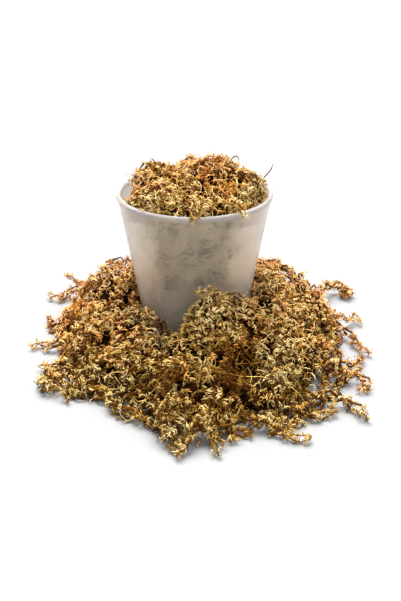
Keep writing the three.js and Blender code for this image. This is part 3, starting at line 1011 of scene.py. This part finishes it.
# a strand that lies loose across a tuft, its ends in the litter
def looseRoute(middle, kind, loose, draw):
    heading = draw(0, 2 * math.pi)
    aside = draw(-loose["aside"], loose["aside"])
    half = draw(*loose["half"])
    phase = draw(0, 6.28)
    lift = draw(*loose["lift"])
    points = []
    for k in range(6):
        along = k / 2.5 - 1
        sway = aside + loose["sway"] * math.sin(2.8 * along + phase)
        x, y = placeAt(middle, heading, half * along, sway)
        above = max(2.2, kind["surface"](x, y) + lift + 2 * math.sin(4 * along + phase))
        points.append((x, y, above + (kind["coreTop"](x, y) - above) * abs(along) ** 5))
    return points


# a strand that fringes the heap and runs out over the floor
def fringeRoute(middle, length, draw):
    heading = math.atan2(middle[1] - heap["middle"][1], middle[0] - heap["middle"][0]) + draw(-0.7, 0.7)
    bend = draw(-0.9, 0.9)
    points = []
    for i in range(6):
        t = i / 5
        x, y = placeAt(middle, heading + bend * (t - 0.3), 6 + length * t, 0)
        lie = stemRule["radius"] * 0.75 + 2 * max(0, math.sin(5 * t + bend))
        above = max(lie, heapHeight(x, y) + stemRule["ride"])
        root = heapCoreTop(x, y) - stemRule["root"]
        points.append((x, y, above + (root - above) * (1 - t) ** 4))
    return points


# stems that trail over the floor: radius, route
trails = (
    (3.3, ((-102, 66, 9), (-108, 70, 6), (-111, 66, 4), (-115, 57, 4), (-126, 66, 5))),
    (2.2, ((-96, 65, 14), (-100, 64, 16), (-105, 63, 20), (-110, 62, 24))),
    (2.9, ((-100, -30, 8), (-108, -36, 5), (-114, -35, 4), (-122, -28, 4), (-127, -36, 3))),
    (5, ((-92, -84, 8), (-105, -83, 7), (-112, -92, 7), (-108, -105, 6), (-98, -104, 5))),
    (4.4, ((108, 60, 12), (116, 74, 9), (124, 77, 7), (132, 69, 6), (125, 60, 5))),
    (2.4, ((109, 5, 10), (119, 13, 9), (124, 8, 6), (131, 18, 6), (137, 9, 3))),
    (3.5, ((112, -8, 10), (120, -14, 8), (126, -28, 6), (130, -40, 5), (137, -46, 4))),
    (3, ((106, -72, 10), (115, -73, 8), (124, -63, 5), (129, -52, 4))),
    (3.2, ((108, -92, 9), (118, -86, 7), (126, -91, 5), (126, -101, 4), (117, -104, 3))),
    (4.3, ((94, -121, 9), (103, -124, 7), (110, -127, 6), (115, -134, 5), (122, -146, 4))),
    (3.3, ((71, -135, 8), (77, -142, 5), (90, -142, 4), (97, -135, 4), (99, -126, 4))),
    (3.9, ((47, -157, 9), (56, -163, 5), (64, -169, 4), (71, -173, 4), (80, -169, 4))),
    (4.2, ((4, -170, 14), (-4, -181, 9), (-9, -189, 5), (-11, -196, 3))),
    (2.7, ((12, -168, 10), (13, -184, 6), (17, -192, 3))),
)

# strands listed one by one: radius, tint, brightness, route
drapes = (
    (4.2, 0.1, 1, ((-27, -144, 19), (-26, -157, 18), (-22, -169, 13), (-20, -180, 5))),
    (4.6, 0.04, 1.05, ((-18, -146, 22), (-16, -160, 20), (-13, -173, 14), (-11, -186, 5))),
    (4.4, 0.08, 1.05, ((-8, -148, 21), (-5, -161, 19), (-3, -173, 13), (-5, -186, 6))),
    (4.2, 0.12, 1, ((-24, -150, 12), (-20, -164, 11), (-16, -176, 7), (-14, -188, 4))),
    (3.6, 0.3, 1, ((6, -150, 18), (9, -162, 14), (14, -171, 9), (20, -181, 3))),
    (3.4, 0.26, 0.95, ((20, -148, 16), (24, -159, 12), (27, -168, 6), (24, -176, 3))),
    (4.6, 0.34, 1.25, ((-34, -117, 30), (-22, -115, 34), (-11, -119, 33), (-3, -126, 28))),
    (4.2, 0.32, 1.2, ((-31, -125, 28), (-20, -124, 31), (-10, -128, 29), (-4, -134, 25))),
    (4, 0.28, 1.1, ((-4, -80, 44), (5, -88, 40), (15, -91, 36), (24, -89, 34))),
    (3.8, 0.26, 1.1, ((2, -72, 54), (6, -82, 46), (12, -94, 35), (10, -106, 26))),
    (3.8, 0.22, 1, ((24, -80, 38), (34, -82, 34), (45, -84, 30), (55, -88, 27))),
    (3.6, 0.5, 1.1, ((-64, -16, 33), (-57, -5, 37), (-55, 8, 40), (-60, 20, 44))),
    (3.6, 0.52, 1.1, ((-46, 28, 50), (-52, 18, 48), (-58, 8, 44), (-61, -4, 38))),
    (3.8, 0.48, 1.1, ((50, 13, 46), (60, 5, 42), (70, -2, 38), (80, -8, 33))),
    (3.8, 0.42, 1.1, ((55, 24, 47), (66, 13, 43), (74, 2, 39), (78, -12, 33))),
    (3.6, 0.55, 1.1, ((44, 31, 48), (54, 25, 48), (62, 17, 46), (69, 8, 41))),
    (4.2, 0.3, 1, ((-64, -124, 9), (-53, -135, 8), (-42, -144, 7), (-30, -155, 6))),
    (4, 0.42, 1, ((-90, -92, 10), (-80, -104, 10), (-69, -112, 9), (-58, -118, 10))),
    (4, 0.24, 1, ((2, -160, 15), (10, -168, 13), (20, -166, 11), (30, -158, 12))),
    (3.8, 0.28, 1, ((28, -150, 14), (38, -157, 11), (50, -155, 9), (60, -150, 9))),
    (4, 0.28, 1.05, ((12, -72, 58), (17, -77, 50), (20, -83, 43), (22, -90, 36))),
    (4, 0.32, 1, ((20, -70, 57), (25, -76, 50), (28, -83, 42), (30, -90, 35))),
    (3.8, 0.26, 1, ((4, -76, 50), (2, -84, 43), (2, -91, 36), (5, -99, 29))),
    (3.6, 0.34, 0.9, ((26, -84, 38), (33, -88, 32), (38, -92, 25), (42, -97, 19))),
    (3.8, 0.32, 1.2, ((54, -13, 47), (60, -21, 46), (66, -30, 42))),
    (3.6, 0.36, 1.2, ((52, 17, 45), (57, 8, 47), (62, -1, 46))),
    (3.8, 0.34, 1.2, ((96, -24, 28), (103, -32, 26), (108, -42, 21))),
    (3.8, 0.16, 1.1, ((8, -150, 29), (14, -156, 26), (21, -161, 21))),
    (3.8, 0.45, 1.2, ((50, -3, 41), (57, -10, 39), (64, -18, 37), (72, -27, 33))),
    (3.8, 0.4, 1.2, ((54, -22, 39), (62, -17, 38), (70, -9, 37), (77, 1, 36))),
    (3.8, 0.36, 1.2, ((47, -63, 39), (56, -70, 37), (64, -76, 34), (72, -84, 28))),
    (3.6, 0.46, 1.2, ((-46, 22, 52), (-50, 12, 50), (-53, 2, 47), (-54, -8, 43))),
    (3.6, 0.45, 1.2, ((48, 20, 50), (56, 12, 48), (64, 6, 45), (72, 2, 41))),
    (4, 0.5, 1, ((6, 60, 24), (-5, 64, 17), (-17, 63, 18), (-28, 58, 26))),
    (4.2, 0.55, 1, ((4, 78, 12), (-8, 77, 7), (-18, 76, 8), (-30, 74, 14))),
    (4, 0.5, 0.9, ((4, 90, 6), (-8, 87, 4), (-20, 85, 4), (-32, 84, 6))),
    (4.2, 0.45, 1, ((-24, 52, 26), (-17, 61, 19), (-16, 71, 12), (-20, 82, 5))),
    (4.2, 0.55, 1, ((-30, 60, 26), (-22, 70, 17), (-21, 79, 9), (-27, 89, 4))),
    (4, 0.5, 1, ((38, 54, 26), (33, 65, 17), (33, 75, 8), (38, 86, 4))),
    (4, 0.6, 1, ((8, 62, 24), (0, 72, 15), (-3, 83, 8), (2, 94, 4))),
    (4, 0.45, 1, ((82, 4, 24), (92, 0, 17), (101, -6, 10), (108, -12, 5))),
    (4, 0.4, 1, ((84, -28, 24), (92, -38, 19), (98, -46, 13), (106, -54, 5))),
    (4, 0.36, 1, ((80, -58, 25), (90, -52, 19), (99, -46, 12), (110, -42, 5))),
    (4, 0.42, 1, ((96, -28, 13), (101, -38, 10), (103, -50, 10), (102, -60, 11))),
    (4, 0.4, 0.95, ((106, -30, 6), (110, -40, 4), (111, -50, 4), (108, -62, 5))),
    (4.2, 0.5, 1, ((-57, 28, 38), (-61, 39, 28), (-66, 50, 15), (-72, 59, 5))),
    (4.2, 0.55, 1, ((-50, 36, 34), (-57, 46, 23), (-63, 54, 12), (-70, 62, 5))),
    (4, 0.5, 1, ((-44, 48, 32), (-54, 44, 30), (-64, 37, 31), (-72, 28, 33))),
    (4, 0.55, 0.95, ((-44, 64, 16), (-54, 58, 14), (-65, 52, 14), (-76, 43, 14))),
    (4, 0.5, 0.9, ((-42, 76, 6), (-54, 71, 5), (-66, 64, 5), (-78, 56, 6))),
    (4.2, 0.56, 1.1, ((-79, 29, 27), (-80, 40, 25), (-74, 50, 20))),
    (4.2, 0.58, 1.1, ((60, 59, 22), (70, 52, 23), (77, 43, 21))),
    (4, 0.6, 1.05, ((66, 57, 13), (75, 49, 14), (81, 40, 13))),
    (4, 0.24, 1.05, ((-1, -58, 47), (-3, -67, 46), (-4, -77, 41))),
    (4, 0.42, 1.1, ((90, -49, 22), (91, -39, 25), (86, -29, 28))),
)


def tuftMiddles():
    golden = math.pi * (3 - math.sqrt(5))
    found = []
    for n in range(heap["tufts"]):
        out = math.sqrt((n + 0.5) / heap["tufts"]) * heap["spread"] * heapReach(n * golden)
        x, y = placeAt(heap["middle"], n * golden, out, 0)
        if math.hypot(x, y) > heap["potClearance"]:
            found.append((x, y))
    return found


heapMiddles = tuftMiddles()


# which tuft a place belongs to
def nearest(middles, place):
    away = [math.hypot(x - place[0], y - place[1]) for x, y in middles]
    return away.index(min(away))


# clumps of the heap: x, y, reach, rise, strands, tint
heapClumps = (
    (-14, -162, 13, 5, 3, 0.18), (7, -166, 9, 4, 2, 0.3), (-105, -94, 9, 6, 3, 0.46),
    (130, 70, 6, 4, 2, 0.62),
    (-44, -50, 8, 5, 2, 0.1), (-20, -116, 10, 4, 2, 0.24), (64, -60, 9, 5, 2, 0.36),
    (66, 44, 10, 4, 2, 0.6), (-66, 40, 10, 4, 2, 0.55), (60, -120, 9, 5, 2, 0.3), (-72, -88, 9, 4, 2, 0.4),
    (30, 84, 10, 4, 2, 0.6), (-24, 84, 9, 4, 2, 0.56),
)


# which tint the moss has where: rustier behind, straw and olive in front
def heapTint(x, y, draw):
    base = 0.18 + 0.36 * min(1, max(0, (y + 105) / 120)) + 0.06 * min(1, abs(x) / 110)
    patch = 0.1 * math.sin(x / 21 + 1.1) * math.cos(y / 17 + 0.6)
    patch += 0.12 * math.exp(-((x - 15) ** 2 + (y + 72) ** 2) / 700)
    return min(0.76, max(0.02, base + patch + draw(-0.24, 0.2)))


# painted light: brighter behind and toward the sides, duller in front
def heapPaintedLight(x, y):
    return min(1.25, 0.97 + 0.45 * max(0, (y + 120) / 110) + 0.12 * min(1, abs(x) / 100))


# painted light on the roots: lifted more behind, where the moss is seen from its side, and on the front peak
def heapLift(x, y):
    peak = 0.24 * math.exp(-((x - 15) ** 2 + (y + 66) ** 2) / 500)
    return 0.05 + 0.3 * min(1, max(0, (y + 60) / 90)) + peak


# painted shade in hollows and painted light on lit places: x, y, reach, how much darker, or lighter where it
# is less than nothing
heapPaintedShadeAndLight = (
    (38, -97, 10, 0.9), (40, -112, 9, 0.9), (37, -121, 9, 0.92), (28, -112, 11, 0.85), (20, -127, 9, 0.6),
    (-79, -79, 10, 0.8), (-35, -104, 8, 0.75), (-17, -130, 8, 0.75), (-95, -16, 6, 0.7), (20, -93, 11, 0.7),
    (-7, -78, 9, 0.45), (20, -141, 9, 0.8), (-64, 4, 7, 0.3), (-71, -60, 10, 0.45), (-86, -4, 10, 0.45),
    (-31, -127, 9, 0.6), (-6, -122, 9, 0.45), (-30, -145, 8, 0.45), (3, -168, 7, 0.45), (-62, -76, 8, 0.45),
    (31, -136, 8, 0.75), (-97, 4, 10, 0.35), (-68, -88, 8, 0.45), (-10, -163, 7, 0.45), (76, -141, 8, 0.3),
    (45, -55, 9, 0.35), (39, -82, 8, 0.4), (-6, -179, 6, 0.4),
    (53, 20, 22, -0.25), (84, 2, 22, -0.18), (112, -9, 20, -0.2), (77, -87, 22, -0.25), (105, -91, 18, -0.15),
    (-67, -122, 16, -0.2), (45, -160, 14, -0.2), (-41, -64, 16, -0.22), (-11, -48, 14, -0.25),
    (19, -78, 18, -0.22),
    (65, 2, 14, -0.3), (-64, 12, 14, -0.3), (-92, -69, 9, -0.4), (-28, -44, 12, -0.3), (-51, -122, 10, -0.25),
    (-12, -172, 6, -0.3), (3, -156, 8, -0.25), (58, -12, 14, -0.35), (93, -56, 11, -0.25),
    (78, -115, 11, -0.25),
    (60, -79, 10, -0.3), (22, -155, 8, -0.3), (51, -118, 7, -0.3),
)


# the heap's tufts
heapLook = {
    "litterRadius": 24,
    "litterShare": 0.8,  # how far out the litter reaches
    "scatter": 60,
    "trailWidth": 1.2,
    "fringeFrom": 0.7,  # share of the way out from which a tuft is fringed
    "fringeLength": (22, 34),
    "collars": 15,  # short strands against the planter's wall
    "collarLayers": ((-1, (0.05, 1)), (-11, (0, 0.6))),  # height over the heap, and shade
    "collarRadius": (2.8, 3.8),
    "loose": 1,
    "looseRoute": {"aside": 16, "half": (13, 22), "lift": (0.5, 4), "sway": 6},
    "looseRadius": (2.4, 3.8),
    "knots": 1,
    "knotReach": (5, 8),
    "knotRadius": (2.4, 3.4),
    "hems": 3,  # strands along the heap's edge
    "hemFrom": 0.6,
    "hemRadius": (3.4, 4.8),
    "threads": 10,
    "threadReach": 18,
    "bareStems": 1,
    "bareLength": (16, 30),
    "cap": 66,
    "capShare": 0.6,  # how much of what stands over it is pressed down
    # middle of the front peak, and where, how wide and how deep its shoulders fall
    "peak": (14, -66, 17, 9, 14),
}

# thin curls on the front peak: radius, tint, brightness, route
tendrils = (
    (1.9, 0.26, 1.2, ((20, -66, 55), (16, -67, 62), (12.7, -66, 67.5), (9, -66, 67.5), (7, -67, 65))),
    (1.5, 0.28, 1.2, ((13, -67, 63), (9, -67, 65.5), (4, -67, 66), (0, -67, 62.5))),
    (1.6, 0.28, 1.2, ((16, -69, 56), (20, -68, 60), (24, -66, 61.5), (25, -67, 57))),
    (1.8, 0.26, 1.2, ((8, -71, 54), (9, -70, 60), (12, -68, 65), (15, -67, 63))),
)


# the height that moss is kept under
def heapCap(x, y):
    a, b, out, width, depth = heapLook["peak"]
    return heapLook["cap"] - depth * np.exp(-(((np.hypot(x - a, y - b) - out) / width) ** 2))


def addTrails(sheaf, own, middle, draw):
    for radius, line in own:
        rootX, rootY = [centre + (start - centre) * 0.5 for centre, start in zip(middle, line[0])]
        points = [(rootX, rootY, heapHeight(rootX, rootY) * 0.5), *line]
        tint = min(0.62 if middle[1] > -100 else 0.35, heapTint(*middle, draw) + 0.05)
        addStrand(sheaf, points, heapLook["trailWidth"] * radius, tint, (0.1, 1), draw, 2, around=math.pi,
                  wisps=0.05)


# those of the listed strands that start at this tuft
def addLaid(sheaf, laid, index, rootShade, draw, **own):
    for radius, tint, bright, line in laid:
        if nearest(heapMiddles, line[0]) == index:
            addStrand(sheaf, line, radius, tint, (rootShade, bright), draw, around=math.pi, **own)


def addCollars(sheaf, index, middle, draw):
    for i in range(heapLook["collars"]):
        centre = i * 2 * math.pi / heapLook["collars"]
        if nearest(heapMiddles, placeAt((0, 0), centre, 54, 0)) != index:
            continue
        for lift, shade in heapLook["collarLayers"]:
            points = []
            for k in range(6):
                angle = centre + 0.3 * (k / 2.5 - 1)
                z = heapHeight(*placeAt((0, 0), angle, 50 + draw(0, 5), 0)) + lift + draw(-1.5, 1.5)
                z = max(3, z)
                points.append((*placeAt((0, 0), angle, wallRadius(z) + 3.5 + draw(0, 2.5), 0), z))
            addStrand(sheaf, points, draw(*heapLook["collarRadius"]), heapTint(*middle, draw), shade, draw)


def addHems(sheaf, middle, draw):
    centre = math.atan2(middle[1] - heap["middle"][1], middle[0] - heap["middle"][0])
    for i in range(heapLook["hems"]):
        share = 0.8 + 0.08 * i
        sweep = draw(18, 24) / heapReach(centre)
        points = []
        for k in range(6):
            angle = centre + sweep * (k / 2.5 - 1) + draw(-0.02, 0.02)
            out = (share + draw(-0.04, 0.04)) * heapReach(angle)
            x, y = placeAt(heap["middle"], angle, out, 0)
            points.append((x, y, max(2.8, 0.45 * heapHeight(x, y) + draw(-1, 1.5))))
        tint = min(0.66, heapTint(*middle, draw) + 0.08)
        addStrand(sheaf, points, draw(*heapLook["hemRadius"]), tint, (0.05, 0.95), draw, around=math.pi)


def buildHeapTuft(index, middle):
    x, y = middle
    look = heapLook
    sheaf = newSheaf(heapHeight, heapPaintedLight(x, y), heapPaintedShadeAndLight, heapLift(x, y))
    draw = drawsFrom(index + 1)
    fine = drawsFrom(700 + index)
    addShadedLitter(sheaf, middle, look["litterRadius"], heapCoreTop, 0, index * 1.7)
    addScatter(sheaf, middle, look["litterRadius"] - 1, heapCoreTop, look["scatter"],
               heapTint(x, y, fine), 400 + index)
    for points, radius in stemRoutes(middle, heapKind, index % 2, draw):
        addStrand(sheaf, points, radius, heapTint(x, y, fine), (0.05, 1), fine)
    own = [trail for trail in trails if nearest(heapMiddles, trail[1][2]) == index]
    addTrails(sheaf, own, middle, fine)
    addLaid(sheaf, drapes, index, 0.1, fine, density=1.5, lean=(0.1, 0.8))
    for _ in range(max(1, 2 - len(own)) if heapShare(x, y) > look["fringeFrom"] else 0):
        length = draw(*look["fringeLength"])
        points = fringeRoute(middle, length, draw)
        tint = min(0.66, heapTint(x, y, fine) + 0.05)
        addStrand(sheaf, points, stemRule["radius"], tint, (0.05, 0.95), fine, around=math.pi, density=1.4)
    addCollars(sheaf, index, middle, fine)
    for _ in range(look["loose"]):
        points = looseRoute(middle, heapKind, look["looseRoute"], fine)
        addStrand(sheaf, points, fine(*look["looseRadius"]), heapTint(x, y, fine), (0.15, 1), fine)
    for _ in range(look["knots"]):
        away = fine(0, 15)
        knotAt = placeAt(middle, fine(0, 2 * math.pi), away, 0)
        points = knotRoute(*knotAt, fine(*look["knotReach"]), heapHeight, fine)
        radius = fine(*look["knotRadius"])
        addStrand(sheaf, points, radius, heapTint(x, y, fine), (0.2, 1), fine, around=math.pi)
    for clump in heapClumps:
        if nearest(heapMiddles, clump) == index:
            addClump(sheaf, *clump, heapHeight, fine)
    if heapShare(x, y) > look["hemFrom"]:
        addHems(sheaf, middle, fine)
    addThreads(sheaf, middle, look, heapHeight, heapTint, fine)
    for _ in range(look["bareStems"]):
        start = (x + fine(-15, 15), y + fine(-15, 15))
        addBareStem(sheaf, start, fine(0, 2 * math.pi), fine(*look["bareLength"]), heapHeight, fine)
    for places in sheaf["places"]:
        over = np.maximum(0, places[:, 2] - heapCap(places[:, 0], places[:, 1]))
        places[:, 2] -= look["capShare"] * over
    addLaid(sheaf, tendrils, index, 0.3, fine, density=1.3, lean=(0.05, 0.6))
    for places in sheaf["places"]:
        clearOfPlanter(places)
    number = str(index + 1).zfill(2)
    return sheafPiece("heap_moss_" + number, sheaf, "heap_tuft_" + number)


heapFaces = sum(buildHeapTuft(index, middle) for index, middle in enumerate(heapMiddles))
print("heap laid:", len(heapMiddles), "tufts,", heapFaces, "faces")

# clumps of the moss that stands out of the planter, as in the heap
domeClumps = (
    (-34, 6, 9, 2, 2, 0.44), (-7, -2, 9, 4, 3, 0.4), (17, 14, 9, 2, 3, 0.68), (40, 6, 7, 2, 2, 0.4),
    (44, -12, 9, 3, 3, 0.2), (2, -45, 7, 4, 3, 0.3), (-31, -37, 7, 3, 2, 0.25), (-42, -18, 6, 2, 2, 0.72),
    (32, -36, 7, 2, 2, 0.24), (0, 44, 9, 3, 2, 0.58),
)

# strands listed one by one that lie on the planter, some over its lip: radius, tint, brightness, route
domeDrapes = (
    (4, 0.22, 1.4, ((-47, -26, 121), (-38, -35, 125), (-27, -42, 126), (-14, -47, 124))),
    (3.4, 0.3, 1.4, ((-50, -22, 119.5), (-43, -32, 120.5), (-34, -41, 120.5), (-23, -48, 120))),
    (3.8, 0.27, 1.4, ((-44, -20, 125), (-33, -30, 128.5), (-20, -36, 128.5), (-12, -40, 127))),
    (3.6, 0.18, 1.35, ((52, -18, 123), (48, -8, 129), (43, 4, 132), (36, 12, 132))),
    (3.4, 0.14, 1.35, ((38, -28, 125), (46, -17, 128), (51, -4, 129), (50, 8, 128))),
    (3.4, 0.28, 1.4, ((-9, -36, 128), (-3, -46, 128), (2, -56, 126), (4, -63, 120))),
    (3.2, 0.24, 1.4, ((9, -40, 127), (7, -51, 127), (0, -60, 124), (-3, -64, 118))),
    (3, 0.2, 1.35, ((25, -34, 126), (30, -44, 126), (34, -51, 124), (37, -56, 118))),
    (3.4, 0.7, 1.15, ((4, 20, 137), (11, 12, 140), (20, 15, 141), (28, 22, 137))),
    (3.6, 0.4, 1.25, ((-47, 8, 127), (-39, 14, 135), (-30, 10, 138), (-23, 4, 133))),
)

# bare dark stems that stand up
darkStems = (
    ((50, -2, 129), (55, 0, 133), (58, 0, 137), (60, 1, 142)),
    ((27, 14, 137), (29, 13, 142), (32, 14, 143.5), (34, 16, 141), (33, 17, 138)),
    ((-30, 8, 138), (-31, 7, 142), (-33, 8, 144)),
)


def domeTint(x, y, draw):
    olive = math.exp(-((x + 28) ** 2 + (y + 40) ** 2) / 240)
    pale = math.exp(-((x - 44) ** 2 + (y + 10) ** 2) / 420) + math.exp(-((x - 4) ** 2 + (y + 46) ** 2) / 300)
    rusty = math.exp(-((x + 44) ** 2 + (y + 16) ** 2) / 120)
    rusty += math.exp(-((x - 16) ** 2 + (y - 20) ** 2) / 250)
    return max(0.02, 0.48 - 0.26 * olive - 0.2 * pale + 0.2 * rusty + draw(-0.09, 0.09))


# painted shade in hollows and painted light on lit places, as in the heap
domePaintedShadeAndLight = (
    (25, -15, 10, 0.6), (9, -31, 7, 0.35), (-12, -24, 8, 0.35), (-40, -11, 7, 0.4), (41, -1, 9, -0.3),
    (-34, 4, 9, -0.3), (-33, -33, 12, -0.4), (25, 8, 8, -0.3), (8, -46, 8, -0.3),
)


domeMiddles = [dome["middle"]]
for step in range(6):
    domeMiddles.append(placeAt((0, 0), step * math.pi / 3 + dome["ringTurn"], dome["ringRadius"], 0))

# the tufts that stand out of the planter
domeLook = {
    "litterRadius": 21,
    "scatter": 70,
    "strands": {"lean": (0.2, 1.1), "wisps": 0.55},
    "loose": 1,
    "looseRoute": {"aside": 12, "half": (11, 19), "lift": (-2, 4), "sway": 5},
    "looseRadius": (2.2, 3.4),
    "threads": 16,
    "threadReach": 15,
    "darkStem": 0.6,
    "darkTint": 0.88,
    "darkShade": (0.1, 0.3),
    "cap": 145,
    "capShare": 0.4,  # how much of what stands over it is left
    # painted light on the dome's moss: how much brighter, and how far its roots are lifted
    "bright": 1.2,
    "lift": 0.14,
}


def buildDomeTuft(index, middle):
    look = domeLook
    sheaf = newSheaf(domeHeight, look["bright"], domePaintedShadeAndLight, look["lift"])
    fine = drawsFrom(800 + index)
    addShadedLitter(sheaf, middle, look["litterRadius"], domeCoreTop, dome["bottom"] + 0.5, index * 2.3)
    addScatter(sheaf, middle, look["litterRadius"] - 1, domeCoreTop, look["scatter"],
               domeTint(*middle, fine), 500 + index)
    for points, radius in stemRoutes(middle, domeKind, 1, drawsFrom(300 + index)):
        addStrand(sheaf, points, radius, domeTint(*points[3][:2], fine), (0.05, 1), fine, **look["strands"])
    for _ in range(look["loose"]):
        points = looseRoute(middle, domeKind, look["looseRoute"], fine)
        radius = fine(*look["looseRadius"])
        addStrand(sheaf, points, radius, domeTint(*points[3][:2], fine), (0.15, 1), fine, **look["strands"])
    for clump in domeClumps:
        if nearest(domeMiddles, clump) == index:
            addClump(sheaf, *clump, domeHeight, fine, wisps=0.8)
    addThreads(sheaf, middle, look, domeHeight, domeTint, fine)
    for places in sheaf["places"]:
        insidePlanter(places)
    for radius, tint, bright, line in domeDrapes:
        if nearest(domeMiddles, line[1]) == index:
            held = len(sheaf["places"])
            addStrand(sheaf, line, radius, tint, (0.15, bright), fine, 1.4, around=math.pi, lean=(0.1, 1),
                      wisps=0.5)
            for places in sheaf["places"][held:]:
                overLip(places)
    for line in darkStems:
        if nearest(domeMiddles, line[0]) == index:
            addStalk(sheaf, smoothLine(line)[0], look["darkStem"], look["darkTint"], look["darkShade"])
    for places in sheaf["places"]:
        over = places[:, 2] - look["cap"]
        places[:, 2] = np.where(over > 0, look["cap"] + look["capShare"] * over, places[:, 2])
    number = str(index + 1).zfill(2)
    return sheafPiece("dome_moss_" + number, sheaf, "dome_tuft_" + number)


domeFaces = sum(buildDomeTuft(index, middle) for index, middle in enumerate(domeMiddles))
print("dome laid:", len(domeMiddles), "tufts,", domeFaces, "faces")

# the moss inside the planter, seen dimly through its wall
wadLook = {
    "bottom": 2.8,
    "split": 53,
    "gap": 0.4,
    "top": 104,
    "sides": 32,
    "inset": 14,
    "offWall": 2,
    "depth": (7, 9.5),  # how far in from the wall the strands run
    "strands": 30,
    "strandRadius": (3, 4.2),
    "tint": (0.1, 0.6),
    # painted light on its strands, kept bright
    "shade": (0.7, 1.2),
    "density": 0.46,
    "narrower": 0.36,  # toward the two sides
}


def buildWad(name, node, low, high, seed):
    look = wadLook
    fine = drawsFrom(seed)
    sheaf = newSheaf()
    bm = bmesh.new()
    spread = bm.loops.layers.uv.new("OFBake")
    raised = Matrix.Translation((0, 0, (low + high) / 2))
    bmesh.ops.create_cone(
        bm, cap_ends=True, segments=look["sides"], depth=high - low,
        radius1=wallRadius(low) - planter["wall"] - look["inset"],
        radius2=wallRadius(high) - planter["wall"] - look["inset"],
        matrix=raised @ Matrix.Diagonal((1 - look["narrower"], 1, 1, 1)),
    )
    bmesh.ops.triangulate(bm, faces=bm.faces[:])
    # the core is dark brown, painted shade behind the strands
    for number, face in enumerate(bm.faces):
        for corner, loop in enumerate(face.loops):
            loop[spread].uv = (0.96 + 0.01 * corner, 0.1 + 0.1 * (number % 4) + 0.08 * (corner == 1))
    addToSheaf(sheaf, **meshArrays(bm))
    for i in range(look["strands"]):
        start = (i + fine(0, 1)) * 2 * math.pi / look["strands"]
        turn = fine(-0.9, 0.9)
        base = fine(low + 4, high - 14)
        rise = fine(4, 26)
        points = []
        for k in range(6):
            t = k / 5
            z = min(high - 3, base + rise * t + 3 * math.sin(5 * t + i))
            angle = start + turn * t
            out = wallRadius(z) - planter["wall"] - fine(*look["depth"])
            out *= 1 - look["narrower"] * math.cos(angle) ** 2
            points.append((*placeAt((0, 0), angle, out, 0), z))
        radius = fine(*look["strandRadius"])
        tint = fine(*look["tint"])
        addStrand(sheaf, points, radius, tint, look["shade"], fine, look["density"], around=math.pi)
    for places in sheaf["places"]:
        insidePlanter(places, look["offWall"])
        places[:, 2] = low + pressBack(places[:, 2] - low, 0.5)
    return sheafPiece(name, sheaf, node)


split = wadLook["split"]
over = split + wadLook["gap"]
wadFaces = buildWad("potted_moss_low", "potted_wad_low", wadLook["bottom"], split, 201)
wadFaces += buildWad("potted_moss_high", "potted_wad_high", over, wadLook["top"], 202)
print("planter stuffed:", wadFaces, "faces; in all", heapFaces + domeFaces + wadFaces)
